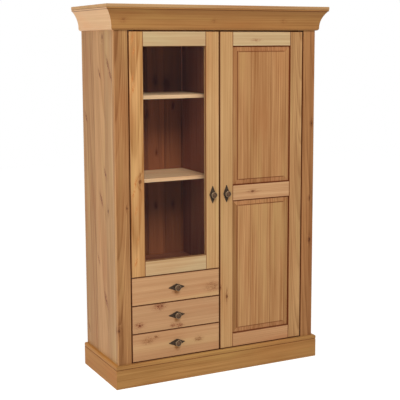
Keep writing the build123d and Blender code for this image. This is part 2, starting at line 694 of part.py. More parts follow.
def hinge_places():
    """Post face, way to the door along X, the ear's far face, way to the door along Z, door's edge."""
    under_glass_door = GLASS_DOOR_BOTTOM - DRAWER_GAP + PIVOT_DRAWER_GAP
    return (
        (POST_LEFT, 1, under_glass_door, 1, GLASS_DOOR_BOTTOM),
        (POST_LEFT, 1, CEILING, -1, DOOR_TOP),
        (POST_RIGHT, -1, PLINTH_HEIGHT, 1, DOOR_BOTTOM),
        (POST_RIGHT, -1, CEILING, -1, DOOR_TOP),
    )


def hinge_screw_starts(post_face, inward, ear, up, door_edge):
    """Where the two screws of one hinge enter the post."""
    middle = ear + up * (PIVOT_PLATE_THICK + PIVOT_FLANGE) / 2
    heights = (middle - HINGE_SCREW_SPACING / 2, middle + HINGE_SCREW_SPACING / 2)
    return [(post_face, FRONT + PIVOT_DEPTH, z) for z in heights]


def hinge_screw(start, inward):
    """A countersunk screw whose head lies flush in the plate and whose shank is in the post."""
    cone = Cone(HINGE_SCREW_RADIUS, HINGE_SCREW_HEAD, PIVOT_PLATE_THICK,
                align=(Align.CENTER, Align.CENTER, Align.MIN))
    head = Pos(*start) * Rot(0, 90 * inward, 0) * cone
    return head + rod("x", start, HINGE_SCREW_RADIUS, -inward * HINGE_SCREW_LENGTH)


def pivot_pin(start, up, door_edge):
    """A pin from its plate into the door, with a collar that the door's bush runs on."""
    x, y, ear = start
    collar_start = ear + up * PIVOT_PLATE_THICK
    collar_height = abs(door_edge - collar_start) - PIVOT_SEAT_GAP
    pin = rod("z", start, PIVOT_RADIUS, door_edge + up * PIVOT_LENGTH - ear)
    return pin + rod("z", (x, y, collar_start), PIVOT_COLLAR_RADIUS, up * collar_height)


def pivot_hinge(post_face, inward, ear, up, door_edge):
    """An angle plate on the post's inner face, with its pin and two screws."""
    pin_start = (post_face + inward * (SIDE_GAP + PIVOT_INSET), FRONT + PIVOT_DEPTH, ear)
    y0 = FRONT + PIVOT_DEPTH - PIVOT_PLATE_WIDTH / 2
    y1 = y0 + PIVOT_PLATE_WIDTH
    ear_ends = sorted((post_face, pin_start[0] + inward * PIVOT_PLATE_BEYOND))
    ear_faces = sorted((ear, ear + up * PIVOT_PLATE_THICK))
    flange_faces = sorted((post_face, post_face + inward * PIVOT_PLATE_THICK))
    flange_ends = sorted((ear, ear + up * PIVOT_FLANGE))
    plate = block(*ear_ends, y0, y1, *ear_faces) + block(*flange_faces, y0, y1, *flange_ends)
    plate -= rod("z", pin_start, PIVOT_RADIUS, up * PIVOT_PLATE_THICK)
    screws = [hinge_screw(start, inward)
              for start in hinge_screw_starts(post_face, inward, ear, up, door_edge)]
    for screw in screws:
        plate -= screw
    return [plate, pivot_pin(pin_start, up, door_edge)] + screws


# Magnetic catches
def strike(x):
    """The steel plate on a door's back that the magnet pulls."""
    z1 = DOOR_TOP - STRIKE_TOP_GAP
    return block(x - STRIKE_LENGTH / 2, x + STRIKE_LENGTH / 2, DOOR_BACK, DOOR_BACK + STRIKE_THICK,
                 z1 - STRIKE_HEIGHT, z1)


def catch(x):
    """The magnet's housing under the ceiling."""
    y0 = DOOR_BACK + STRIKE_THICK + CATCH_GAP
    return block(x - CATCH_LENGTH / 2, x + CATCH_LENGTH / 2, y0, y0 + CATCH_DEPTH,
                 CEILING - CATCH_HEIGHT, CEILING)


# Drawers
def drawer_heights():
    """Bottom and top of each drawer front, from the lowest up."""
    space = GLASS_DOOR_BOTTOM - DRAWER_GAP - DOOR_BOTTOM
    height = (space - (DRAWERS - 1) * DRAWER_GAP) / DRAWERS
    lows = [DOOR_BOTTOM + count * (height + DRAWER_GAP) for count in range(DRAWERS)]
    return [(low, low + height) for low in lows]


def runner_low(front_low):
    """The underside of the runners of the drawer whose front starts at this height."""
    return front_low + DRAWER_WALL_LIFT + (DRAWER_WALL_HEIGHT - RUNNER_HEIGHT) / 2


def drawer_runners():
    """A pair of hardwood strips for each drawer."""
    y0 = INNER_FRONT + RUNNER_FRONT_SETBACK
    y1 = INNER_BACK - RUNNER_BACK_GAP
    partition_face = -PARTITION_THICK / 2
    strips = []
    for front_low, _ in drawer_heights():
        z0 = runner_low(front_low)
        z1 = z0 + RUNNER_HEIGHT
        strips.append(block(POST_LEFT, POST_LEFT + RUNNER_WIDTH, y0, y1, z0, z1))
        strips.append(block(partition_face - RUNNER_WIDTH, partition_face, y0, y1, z0, z1))
    return strips


def drawer_wall(outer, inward, z0, front_low):
    """One long wall of a drawer, grooved outside for its runner and inside for its bottom."""
    y0 = DOOR_BACK
    y1 = DRAWER_BACK
    inner = outer + inward * DRAWER_WALL
    wall = block(*sorted((outer, inner)), y0, y1, z0, z0 + DRAWER_WALL_HEIGHT)
    groove_depth = RUNNER_WIDTH - DRAWER_SIDE_CLEARANCE + RUNNER_END_GAP
    groove_start = INNER_FRONT + RUNNER_FRONT_SETBACK - RUNNER_END_GAP
    low = runner_low(front_low) - RUNNER_UNDER_GAP
    high = runner_low(front_low) + RUNNER_HEIGHT + RUNNER_TOP_GAP
    wall -= block(*sorted((outer, outer + inward * groove_depth)), groove_start, y1, low, high)
    bottom_low = z0 + DRAWER_BOTTOM_LIFT
    tongue = sorted((inner - inward * DRAWER_BOTTOM_TONGUE, inner))
    return wall - block(*tongue, y0, y1, bottom_low, bottom_low + DRAWER_BOTTOM_THICK)


def make_drawer(name, front_low, front_high):
    x0 = POST_LEFT + DRAWER_SIDE_CLEARANCE
    x1 = -PARTITION_THICK / 2 - DRAWER_SIDE_CLEARANCE
    inner_left = x0 + DRAWER_WALL
    inner_right = x1 - DRAWER_WALL
    y1 = DRAWER_BACK
    z0 = front_low + DRAWER_WALL_LIFT
    bottom_low = z0 + DRAWER_BOTTOM_LIFT
    bottom_high = bottom_low + DRAWER_BOTTOM_THICK
    t = DRAWER_BOTTOM_TONGUE
    knob_x = (DOOR_LEFT - MEETING) / 2
    knob_z = (front_low + front_high) / 2
    bottom = block(inner_left - t, inner_right + t, DOOR_BACK - t, y1, bottom_low, bottom_high)
    front = soft_front(block(DOOR_LEFT, -MEETING, FRONT, DOOR_BACK, front_low, front_high), 2 * ARRIS)
    front = front - bottom - knob_hole(knob_x, knob_z)
    walls = (
        drawer_wall(x0, 1, z0, front_low),
        drawer_wall(x1, -1, z0, front_low),
        block(inner_left, inner_right, y1 - DRAWER_WALL, y1, bottom_high, z0 + DRAWER_WALL_HEIGHT),
    )
    save(f"{name}_front", front)
    save(f"{name}_walls", *walls)
    save(f"{name}_bottom", bottom)
    make_knob(name, knob_x, knob_z, upright=False)


make_carcass()
make_shelves()
make_glass_door()
make_panel_door()
save("pivot_hinges", *[piece for place in hinge_places() for piece in pivot_hinge(*place)])
save("magnetic_catches", catch(-MEETING - CATCH_INSET), catch(MEETING + CATCH_INSET))
save("drawer_runners", *drawer_runners())
for name, (low, high) in zip(("drawer_bottom", "drawer_middle", "drawer_top"), drawer_heights()):
    make_drawer(name, low, high)
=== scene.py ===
# %% [markdown]
# # Dressing a pine display cabinet
#
# The cabinet's boards, doors and drawers come from its CAD model, already in their places. What is left to
# do here is what a finisher and a photographer do: give each board its own grain, knots and wax, age the
# ironwork, put glass in the door, and light the whole on a pale floor.
#
# The CAD model is loaded first. Its boards are in metres: +X to the right, +Y to the back, +Z up.

import math

import bpy
from mathutils import Matrix, Vector


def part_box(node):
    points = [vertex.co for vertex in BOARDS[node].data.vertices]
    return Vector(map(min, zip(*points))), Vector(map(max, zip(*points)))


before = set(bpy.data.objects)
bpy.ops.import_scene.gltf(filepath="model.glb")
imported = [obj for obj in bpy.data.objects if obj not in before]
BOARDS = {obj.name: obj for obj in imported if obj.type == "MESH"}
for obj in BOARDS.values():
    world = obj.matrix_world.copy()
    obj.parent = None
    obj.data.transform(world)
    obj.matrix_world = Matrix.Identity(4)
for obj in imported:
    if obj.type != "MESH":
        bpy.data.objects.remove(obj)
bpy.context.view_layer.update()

# %% [markdown]
# ## Shader maths
#
# A grain pattern is mostly arithmetic: how far is this point from the middle of the tree, which ring is
# that, how dark is the ring there. Blender does such sums with Math nodes, and a long sum is hard to read
# as nodes. So one small class wraps a socket and gives it Python's own operators: each one adds its node.
# Numbers alone are still worked out in Python.

# %% A socket that can be added, multiplied and compared
def abilities(kind):
    """The names of a class's methods, other than its operators."""
    return ", ".join(name for name in vars(kind) if not name.startswith("_"))


def is_vector(value):
    return isinstance(value, Wire) and value.socket.type in ("VECTOR", "RGBA")


def adds(operation, swapped=False):
    """A method of a wire that adds the node for one operation; swapped puts the wire itself last."""
    def method(self, *others):
        values = (*others, self) if swapped else (self, *others)
        return self.sum(operation, *values)
    return method


class Wire:
    """The output of a node, used in a sum as if it were a number or a vector."""

    def __init__(self, finish, socket):
        self.finish = finish
        self.socket = socket

    def sum(self, operation, *values):
        kind = "ShaderNodeMath"
        if any(is_vector(value) for value in values):
            kind = "ShaderNodeVectorMath"
            values = [value if is_vector(value) else (value, value, value) for value in values]
        return self.finish.node(kind, {"operation": operation}, dict(enumerate(values)))

    __add__ = adds("ADD")
    __radd__ = adds("ADD", swapped=True)
    __sub__ = adds("SUBTRACT")
    __rsub__ = adds("SUBTRACT", swapped=True)
    __mul__ = adds("MULTIPLY")
    __rmul__ = adds("MULTIPLY", swapped=True)
    __truediv__ = adds("DIVIDE")
    __pow__ = adds("POWER")
    floor = adds("FLOOR")
    fraction = adds("FRACT")
    sine = adds("SINE")
    root = adds("SQRT")
    unsigned = adds("ABSOLUTE")
    at_most = adds("MINIMUM")
    at_least = adds("MAXIMUM")

    def between(self, low, high):
        """The value, kept from low to high."""
        return self.at_least(low).at_most(high)

    def bell(self):
        """1 where the value is 0, falling away smoothly to both sides."""
        return self.sum("EXPONENT", self * self * -1.0)

    def rise(self, start, end):
        """0 below start, 1 above end, and a smooth slope between; start may be the larger of the two."""
        if start > end:
            return 1.0 - self.rise(end, start)
        settings = {"interpolation_type": "SMOOTHSTEP"}
        inputs = {"Value": self, "From Min": start, "From Max": end}
        return self.finish.node("ShaderNodeMapRange", settings, inputs)

    def part(self, name):
        """Another output of the same node."""
        return Wire(self.finish, self.socket.node.outputs[name])


print("a wire knows", abilities(Wire))

# %% [markdown]
# ### One method for every other node
#
# Noise, mixing and bump are nodes too. Each could get its own few lines wherever it is needed, but they
# all want the same three things: a type, its settings, and what goes into its sockets. So one method makes
# any node, and the few that the wood needs again and again get a short name on top of it. Colours are mixed
# by a Mix node, because a Math node would turn them grey.

# %% A tree of nodes
class Nodes:
    """A node tree that is built up node by node."""

    def __init__(self, tree):
        self.tree = tree

    def node(self, kind, settings, inputs):
        """Any node: its type, its settings, and the values or links of its sockets."""
        made = self.tree.nodes.new(kind)
        for name, value in settings.items():
            setattr(made, name, value)
        for name, value in inputs.items():
            self.join(made.inputs[name], value)
        return Wire(self, next(output for output in made.outputs if output.enabled))

    def join(self, socket, value):
        if isinstance(value, Wire):
            self.tree.links.new(value.socket, socket)
        else:
            socket.default_value = value

    def mix(self, first, second, share):
        """The first colour where share is 0 and the second where it is 1."""
        first = first if isinstance(first, Wire) else (*first, 1.0)
        second = second if isinstance(second, Wire) else (*second, 1.0)
        inputs = {0: share, 6: first, 7: second}
        mixed = self.node("ShaderNodeMix", {"data_type": "RGBA"}, inputs)
        return Wire(self, mixed.socket.node.outputs[2])

    def vector(self, x, y, z):
        return self.node("ShaderNodeCombineXYZ", {}, {"X": x, "Y": y, "Z": z})

    def noise(self, place, detail=2.0, roughness=0.5, scale=1.0):
        """Smooth random values from 0 to 1 with a mean of a half, from a place of three values."""
        inputs = {"Vector": self.vector(*place), "Scale": scale, "Detail": detail, "Roughness": roughness}
        return self.node("ShaderNodeTexNoise", {}, inputs)

    def grained(self, places, changes, detail=2.0, roughness=0.5):
        """Noise that changes so often in a metre, first along the grain and then across it."""
        length, width, depth = places
        along, across = changes
        return self.noise((length * along, width * across, depth * across), detail, roughness)

    def chance(self, where):
        """One random value from 0 to 1 for each whole number."""
        return self.node("ShaderNodeTexWhiteNoise", {"noise_dimensions": "1D"}, {"W": where})


print("a tree of nodes can make", abilities(Nodes))

# %% [markdown]
# ### A finish
#
# A finish is what a maker brushes on: here it is a material, with one shader and the tree of nodes that
# feeds it. The pattern is placed by the points of the piece itself, so it moves with a door or a drawer
# and doesn't slide about when the camera moves. What varies goes to colour, roughness and bump; what is the
# same all over is set on the shader's own socket.

# %% A material to be fed
class Finish(Nodes):
    """A material whose shader is fed by its nodes."""

    def __init__(self, name):
        self.material = bpy.data.materials.new(name)
        self.material.use_nodes = True
        super().__init__(self.material.node_tree)
        self.shader = self.tree.nodes["Principled BSDF"]

    def place(self):
        """Where a point lies on the cabinet, in metres; it moves with the piece."""
        where = self.node("ShaderNodeTexCoord", {}, {}).part("Object")
        split = self.node("ShaderNodeSeparateXYZ", {}, {"Vector": where})
        return split.part("X"), split.part("Y"), split.part("Z")

    def set(self, **values):
        """Values or links for the shader's own sockets; underscores stand for spaces."""
        for name, value in values.items():
            self.join(self.shader.inputs[name.replace("_", " ")], value)

    def bump(self, height, distance, strength=1.0):
        """Raise and sink the surface by a height from 0 to 1, at most distance metres."""
        inputs = {"Height": height, "Distance": distance, "Strength": strength}
        self.set(Normal=self.node("ShaderNodeBump", {}, inputs))

    def put_on(self, *objects):
        for piece in objects:
            piece.data.materials.clear()
            piece.data.materials.append(self.material)


print("a finish can", abilities(Finish))

# %% [markdown]
# ### Colours as the eye sees them
#
# A colour picked from a board is stretched in its dark tones, as all screen colours are. A shader
# reckons with light itself, so the stretch is taken out first.

# %% From the eye's colours to the shader's
def colour(red, green, blue):
    """A colour as seen on a screen, from 0 to 255, as the linear values that a shader wants."""
    def linear(value):
        share = value / 255.0
        return share / 12.92 if share <= 0.04045 else ((share + 0.055) / 1.055) ** 2.4
    return linear(red), linear(green), linear(blue)


def shade(tone, red, green, blue):
    """A colour with each of its parts made darker or brighter by a share."""
    return tone[0] * red, tone[1] * green, tone[2] * blue


print("middle grey reflects", round(colour(128, 128, 128)[0], 3), "of the light")

# %% [markdown]
# ## The pine
#
# A pine board is a slice through a cone of growth rings. Each ring starts pale in spring and ends in a
# thin, darker and harder line in late summer. Where the saw runs along the middle of the trunk the lines
# are straight; further out the slice cuts the cones at a slant, which gives the pointed flames that make
# flat-sawn pine easy to know. A knot is a branch that the board cuts across: dark, round or oval, with its
# own rings, and the grain of the trunk flows round it.
#
# A picture of wood could be wrapped round each board, but then the pattern on a board's face would not
# meet the one on its edge. Here the tree itself is worked out in three dimensions: any point of a board
# asks how far it is from the middle of its own tree, so faces, edges and ends always agree.
#
# Every board first needs its own directions. The grain runs along the length of a board, so a board's
# points are read as length, width and depth, whichever way the board stands in the cabinet.

# %% Which way the grain runs
GRAIN = {
    "upright": lambda x, y, z: (z, x, y),
    "upright side": lambda x, y, z: (z, y, x),
    "across": lambda x, y, z: (x, z, y),
    "across flat": lambda x, y, z: (x, y, z),
    "back to front": lambda x, y, z: (y, z, x),
}
print("the grain can run", ", ".join(GRAIN))

# %% [markdown]
# ### Edges that hold old wax
#
# Where two pieces meet there is a narrow gap, and wax and dust gather in it and darken both edges. Bevelled
# geometry would catch this light and dark too, but the line is mostly dirt, so it is drawn as colour. For
# that a finish must know where the face of its board ends.

# %% The face of a board
def face_of(node, grain, tenon=0.0, open_low=False, open_high=False):
    """Where a board's face starts and ends along its grain and across it, without its tenons.

    A side that is open has no edge there."""
    low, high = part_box(node)
    length_low, width_low, *_ = GRAIN[grain](*low)
    length_high, width_high, *_ = GRAIN[grain](*high)
    width_low -= 1.0 if open_low else 0.0
    width_high += 1.0 if open_high else 0.0
    return length_low + tenon, length_high - tenon, width_low, width_high


def inside_by(length, width, face):
    """How far a point is inside a rectangle, along the grain and across it; negative outside."""
    length_low, length_high, width_low, width_high = face
    along = (length - length_low).at_most(length_high - length)
    across = (width - width_low).at_most(width_high - width)
    return along, across


OLD_WAX = colour(97, 38, 9)
print("the left post's face runs", [round(value, 3) for value in face_of("post_left", "upright")])

# %% [markdown]
# ### Knots
#
# A knot of this cabinet is small: 5 to 15 mm, red-brown, darkest at its rim, and seldom quite round. The
# wood beside it is stained along the grain, which looks like a brush stroke of red. So a knot here is three
# marks in one: a core, a rim, and a torn streak that runs out along the board.
#
# A knot could be a small dark disc laid on the wood, but then the rings would run straight on under it. As
# a distance instead, the same number draws the knot and pushes the rings aside.

# %% How far a point is from a knot
def knot_distance(length, width, knot, stretch):
    """How far a point is from a knot, in sizes of the knot, which is stretch times as long as wide."""
    knot_length, knot_width, size = knot
    along = (length - knot_length) / stretch
    across = width - knot_width
    return (along * along + across * across).root() / size


def nearest_of(length, width, knots, stretch):
    """The distance to the nearest of some knots."""
    distances = [knot_distance(length, width, knot, stretch) for knot in knots]
    nearest = distances[0]
    for distance in distances[1:]:
        nearest = nearest.at_most(distance)
    return nearest


KNOT_STRETCH, STREAK_STRETCH = 1.5, 9.0
print("a knot is", KNOT_STRETCH, "times as long as wide, and its streak", STREAK_STRETCH, "times")

# %% Knots by chance
KNOTS_PER_METRE = 2.4
KNOTS_PER_METRE_ACROSS = 8.0
KNOT_LEAST, KNOT_SPREAD = 0.002, 0.005
NO_KNOT = 0.000001


def chance_knot(finish, length, width, board, share):
    """One knot by chance in each stretch of a board: where it is and its size; share of them are there."""
    where = finish.vector(length * KNOTS_PER_METRE, width * KNOTS_PER_METRE_ACROSS, board * 7.31)
    cell = finish.node("ShaderNodeTexVoronoi", {"voronoi_dimensions": "3D"},
                       {"Vector": where, "Scale": 1.0, "Randomness": 0.8})
    middle = finish.node("ShaderNodeSeparateXYZ", {}, {"Vector": cell.part("Position")})
    luck = finish.node("ShaderNodeSeparateColor", {}, {"Color": cell.part("Color")})
    there = luck.part("Red").rise(share + 0.001, share)
    size = (KNOT_LEAST + KNOT_SPREAD * luck.part("Green")) * there + NO_KNOT
    return middle.part("X") / KNOTS_PER_METRE, middle.part("Y") / KNOTS_PER_METRE_ACROSS, size


print("a square metre has room for", round(KNOTS_PER_METRE * KNOTS_PER_METRE_ACROSS), "knots by chance")

# %% Draw the knots
KNOT_HALO = 0.80, 0.60, 0.52
KNOT_STREAK = 0.50, 0.28, 0.25
KNOT_CORE = (0.52, 0.30, 0.24), (0.30, 0.16, 0.14)
KNOT_RIM = 0.16, 0.09, 0.09
KNOT_RINGS = 9.0
ROUGH_EDGE = 60.0, 150.0
TORN_FIBRES = 40.0, 420.0


def draw_knots(finish, wood, dark, places, near, far):
    """The wood with its knots; near is how far the nearest one is, and far the same for its streak."""
    rough = finish.grained(places, ROUGH_EDGE, 3.0, 0.6) - 0.5
    ragged = near + rough * 2.2
    torn = finish.grained(places, TORN_FIBRES, 3.0, 0.7)
    streak = (far + rough * 1.2).rise(1.5, 0.3) * torn.rise(0.40, 0.60)
    wood = finish.mix(wood, shade(dark, *KNOT_HALO), (near / 2.6).bell() * 0.35)
    wood = finish.mix(wood, shade(dark, *KNOT_STREAK), streak * 0.7)
    rings = (near * KNOT_RINGS).sine() * 0.5 + 0.5
    core = finish.mix(*[shade(dark, *tone) for tone in KNOT_CORE], rings)
    wood = finish.mix(wood, core, ragged.rise(1.1, 0.7) * 0.7)
    return finish.mix(wood, shade(dark, *KNOT_RIM), ((ragged - 1.0) / 0.20).bell() * 0.45)


KNOT_PUSH = 0.012
print("beside a knot the rings bow out by", round(1000 * KNOT_PUSH), "mm")

# %% [markdown]
# ### Bark pockets
#
# Besides round knots, the boards have torn red marks, where a bit of bark or resin was shut in. They are
# longer than wide and often lie aslant. Each is drawn as a soft patch with ragged darker shreds in it. Where
# only resin has soaked in, as on the glazed door's stile, the same marks are orange instead, and where a
# small dead branch left its bark, as on some of the drawers, they are umber.
#
# Python lets a function make another function: the marks of one board are given once, and what comes back
# draws them over whatever wood it is handed. All the details below are made in this way.

# %% Torn marks
DARK_RED = (1.05, 0.72, 0.62), (0.42, 0.14, 0.10)
ORANGE = (2.18, 2.37, 2.97), (1.50, 1.12, 0.92)
UMBER = (0.96, 0.86, 0.72), (0.52, 0.38, 0.27)


def dabs(marks, stretch, slant, strength, hue=DARK_RED):
    """A function that draws torn marks, each (along, across, size), leaning across by their slant.

    hue says what the patch and the shreds in it make of the wood's dark tone."""
    soft, torn_off = hue
    upright_marks = [(along, across - slant * along, size) for along, across, size in marks]

    def draw(finish, wood, dark, places):
        length, width, depth = places
        patch = (nearest_of(length, width - length * slant, upright_marks, stretch) / 1.1).bell() * strength
        torn = finish.noise((length * 120.0, width * 260.0, 0.5), 3.0, 0.7)
        wood = finish.mix(wood, shade(dark, *soft), patch * 0.40)
        return finish.mix(wood, shade(dark, *torn_off), patch * torn.rise(0.48, 0.53))
    return draw


print("red shreds keep", DARK_RED[1], "of the dark tone's light, orange ones", ORANGE[1])

# %% [markdown]
# ### Growth rings
#
# The middle of the tree seldom lies in the board itself. Where it lies far off to one side, the rings cross
# the face in straight lines; where it lies right behind the face, they make flames. So each board has a
# place for its heart: how far to the side, and how far behind.
#
# Noise alone would give a wood-like blur, but not flames that close at their tips. A distance cut into
# equal steps does, because it is what the tree did.

# %% Growth rings
RING = 0.0042


def growth_rings(finish, along, across, below, board, push, ring):
    """Two patterns from 0 to 1: thin dark lines of late wood, and broad bands of good and poor years."""
    from_heart = (across * across + below * below).root() + push
    uneven = finish.noise((from_heart * 45.0, board, along * 0.3))
    rings = (from_heart + (uneven - 0.5) * 0.012) / ring
    step = rings.fraction()
    late = step ** 2.0 * step.rise(1.0, 0.84)
    bold = finish.noise((rings.floor() * 2.7, board, 0.5), 0.0).rise(0.32, 0.70)
    years = finish.noise((from_heart * 95.0, board, along * 0.35), 2.0, 0.65)
    return late * (0.30 + 0.70 * bold), years


print("a tree of 300 mm across has", round(0.150 / RING), "rings")

# %% [markdown]
# ### A board and its tree
#
# Boards glued side by side come from different trees, so each has its own number, and that number throws
# the dice for where its heart lies. Trees are never straight either: the heart wanders slowly along the
# board and sways in short waves, and a trunk is thicker at its foot, which is why flames have tips.

# %% Which board a point is on
CABINET_HALF = 0.6


def board_at(width, seed, face, board_width, board_start):
    """The board's number, where its middle is, and, for glued boards, how many of them a point is along."""
    if board_width:
        count = (width - board_start) / board_width
        return count.floor() + float(seed), (count.floor() + 0.5) * board_width + board_start, count
    if face:
        return float(seed), 0.5 * (max(face[2], -CABINET_HALF) + min(face[3], CABINET_HALF)), None
    return float(seed), 0.0, None


post_face = face_of("post_left", "upright", open_low=True)
print("the left post's middle lies at", board_at(0.0, 5, post_face, None, 0.0)[1])

# %% Where a board lay in its tree
TRUNK_TAPER = 0.022


def in_the_tree(finish, places, slid, board, middle, luck, heart, wild):
    """How far a point lies to the side of its tree's heart, and how far in front of it."""
    length, width, depth = places
    wander = (finish.noise((slid * 0.8, width * 1.5, board)) - 0.5) * 0.014
    sway = (finish.noise((slid * 5.0, width * 9.0, board)) - 0.5) * 0.004 * wild
    sideways = heart[0] if heart else 0.08 + 0.10 * luck[0]
    behind = heart[1] if heart else 0.02 + 0.06 * luck[1]
    return width - middle + wander + sway + sideways, depth * 0.9 + behind + length * TRUNK_TAPER


print("over 1.8 m the heart comes nearer by", round(1.8 * TRUNK_TAPER, 3), "metres")

# %% [markdown]
# ### Clouds, joints and rims
#
# Rings alone look like a printed pattern. Real pine also drifts from place to place, redder where resin
# sat and greyer where the sun reached it. Then come the maker's own marks: the thin dark joint between two
# glued boards, and the rim of old wax.

# %% Clouds in the wood
WARM_CLOUD = 2.0, 9.0
WARM_HUE = 1.40, 1.02, 0.90
COOL_CLOUD = 1.5, 14.0
COOL_HUE = 0.90, 1.0, 0.90


def clouded(finish, wood, tone, slid, width, board, blush):
    """The wood with redder and greyer clouds, long along the grain; blush is how strong the red is."""
    pale, dark = tone
    warm = finish.noise((slid * WARM_CLOUD[0], width * WARM_CLOUD[1], board * 3.0 + 9.0))
    wood = finish.mix(wood, shade(dark, *WARM_HUE), warm.rise(0.45, 0.75) * blush)
    cool = finish.noise((slid * COOL_CLOUD[0], width * COOL_CLOUD[1], board * 3.0 + 4.0))
    return finish.mix(wood, shade(pale, *COOL_HUE), cool.rise(0.50, 0.78) * 0.6)


print("clouds are", round(COOL_CLOUD[1] / COOL_CLOUD[0]), "times as long as wide")

# %% Joints and rims
JOINT = 0.0012
JOINT_HUE = 0.45, 0.36, 0.32
RIM_OUTER, RIM_INNER = 0.0006, 0.0028


def jointed(finish, wood, dark, count, board_width):
    """The wood with a thin dark line between glued boards."""
    from_seam = (0.5 - (count.fraction() - 0.5).unsigned()) * board_width
    return finish.mix(wood, shade(dark, *JOINT_HUE), (from_seam / JOINT).bell() * 0.6)


def rim_of(length, width, face):
    """1 at the edge of a board's face and 0 inside it."""
    along_edge, across_edge = inside_by(length, width, face)
    return along_edge.at_most(across_edge).rise(RIM_INNER, RIM_OUTER)


print("a rim of wax is", round(RIM_INNER * 1000, 1), "mm wide")

# %% [markdown]
# ### The whole board
#
# Now the parts come together: rings, fibres, streaks and clouds are added up to one grey value, which
# picks a colour between the pale and the dark end of the board's tone. Knots, details, joints and rims are
# drawn over that, in the order in which they came about. The late wood is harder, so it stands a little
# proud, and old wax is dull: so the same patterns feed the bump and the roughness.

# %% Pine, cut into boards
FIBRE = 9.0, 650.0
STREAK = 1.6, 170.0
CLOUD = 2.5, 11.0
SHARES = {"late": 0.40, "years": 0.8, "streak": 1.1, "cloud": 0.45, "fibre": 0.25}
MIDDLE_GREY = 0.40
TRUNK_SLIDE, SEED_SLIDE = 3.0, 0.37
RELIEF = 0.00035
SATIN = 0.13


def pine(name, grain, tone, seed, face=None, board_width=None, board_start=0.0, heart=None, knots=(),
         knot_share=0.05, contrast=1.0, board_contrast=0.12, ring=RING, wild=1.0, blush=0.3, wax=0.75,
         extras=()):
    """Waxed pine for one piece of the cabinet.

    face is the rectangle whose edges hold dark wax, and board_width that of boards glued side by side.
    heart is how far the middle of the tree lies to the side and behind, ring how wide each of its rings is,
    and wild makes them sway. contrast, blush and wax say how strong the rings, clouds and edges are.
    knots are (along, across, size), and each of the extras draws one more thing over the wood."""
    finish = Finish(name)
    pale, dark = tone
    places = GRAIN[grain](*finish.place())
    length, width, depth = places
    board, middle, count = board_at(width, seed, face, board_width, board_start)
    luck = [finish.chance(board + shift) for shift in (0.0, 31.7, 57.9)]
    slid = length + TRUNK_SLIDE * luck[2] + SEED_SLIDE * seed

    all_knots = [*knots, chance_knot(finish, length, width, board, knot_share)]
    near = nearest_of(length, width, all_knots, KNOT_STRETCH)
    push = (near / 3.0).bell() * KNOT_PUSH

    across, below = in_the_tree(finish, places, slid, board, middle, luck, heart, wild)
    late, years = growth_rings(finish, slid, across, below, board, push, ring)

    fibre = finish.grained(places, FIBRE)
    streak = finish.grained((slid, width, depth), STREAK, 3.0, 0.7)
    cloud = finish.noise((slid * CLOUD[0], width * CLOUD[1], board * 5.0), 3.0)
    grey = late * SHARES["late"] + (luck[2] - 0.5) * 2.0 * board_contrast
    for layer, pattern in (("years", years), ("streak", streak), ("cloud", cloud), ("fibre", fibre)):
        grey = grey + (pattern - 0.5) * SHARES[layer]
    wood = finish.mix(pale, dark, (MIDDLE_GREY + grey * contrast).between(0.0, 1.0))
    wood = clouded(finish, wood, tone, slid, width, board, blush)
    far = nearest_of(length, width, all_knots, STREAK_STRETCH)
    wood = draw_knots(finish, wood, dark, places, near, far)
    for extra in extras:
        wood = extra(finish, wood, dark, places)
    if board_width:
        wood = jointed(finish, wood, dark, count, board_width)
    edge = 0.0
    if face:
        edge = rim_of(length, width, face)
        wood = finish.mix(wood, OLD_WAX, edge * wax)

    roughness = 0.50 + 0.14 * (fibre - 0.5) + 0.10 * late + 0.40 * edge
    finish.set(Base_Color=wood, Roughness=roughness, Specular_IOR_Level=SATIN)
    finish.bump(late * 0.5 + fibre * 0.35 + near.rise(1.2, 0.8) * 0.3, RELIEF, 0.6)
    return finish


print("late wood stands proud by up to", round(1000 * RELIEF, 2), "mm")

# %% [markdown]
# ## Tones of the wood
#
# All the wood is the same pine with the same honey-coloured wax, but the maker sorted the boards: the
# palest and cleanest for the doors and drawers, the redder ones for the posts, the cornice and the plinth.
# So each group gets a pale and a dark end for its rings, and each piece a seed of its own, which stands for
# the tree that it was sawn from.

# %% Tones
HONEY = colour(203, 162, 112), colour(147, 101, 55)
STILE = colour(200, 153, 99), colour(145, 95, 48)
RAIL = colour(202, 177, 135), colour(156, 119, 77)
DRAWER = colour(202, 158, 114), colour(150, 102, 64)
RED_RAIL = colour(196, 149, 105), colour(145, 96, 59)
TOP_RAIL = colour(195, 171, 130), colour(150, 114, 74)
MIDDLE_DRAWER = colour(195, 152, 110), colour(144, 98, 62)
PANEL = colour(194, 148, 99), colour(140, 91, 48)
UPPER_PANEL = colour(188, 140, 92), colour(135, 85, 44)
POST = colour(190, 142, 92), colour(129, 84, 46)
POST_RIGHT = colour(176, 125, 78), colour(120, 74, 38)
RED_STILE = colour(191, 147, 98), colour(130, 87, 49)
SIDE = colour(199, 152, 104), colour(141, 96, 55)
CORNICE = colour(180, 131, 76), colour(128, 82, 40)
# The left return of the cornice is much paler than the right one, partly as painted light from the left.
LIT_RETURN = colour(236, 196, 152), colour(196, 148, 102)
RETURN_RIGHT = colour(208, 163, 112), colour(160, 113, 68)
FASCIA = colour(229, 188, 134), colour(166, 119, 73)
PLINTH = colour(183, 136, 80), colour(137, 94, 47)
PLINTH_SIDE = colour(192, 135, 68), colour(144, 92, 39)
# The inside tones, for the ceiling, floors, partition and back boards, are painted shade: darker and redder
# than the pine outside, for the shade inside the cupboard.
SHADED_INSIDE = colour(152, 90, 58), colour(80, 40, 28)
SHADED_PARTITION = colour(170, 106, 77), colour(94, 51, 40)
SHADED_BACK = colour(157, 94, 56), colour(84, 44, 27)
# The shelves' tone is painted light: paler than the pine, for the light that falls on their tops.
LIT_SHELF = colour(238, 205, 160), colour(205, 160, 114)
print("the shelves reflect", round(LIT_SHELF[0][1], 2), "of green light, the back", round(SHADED_BACK[1][1], 2))

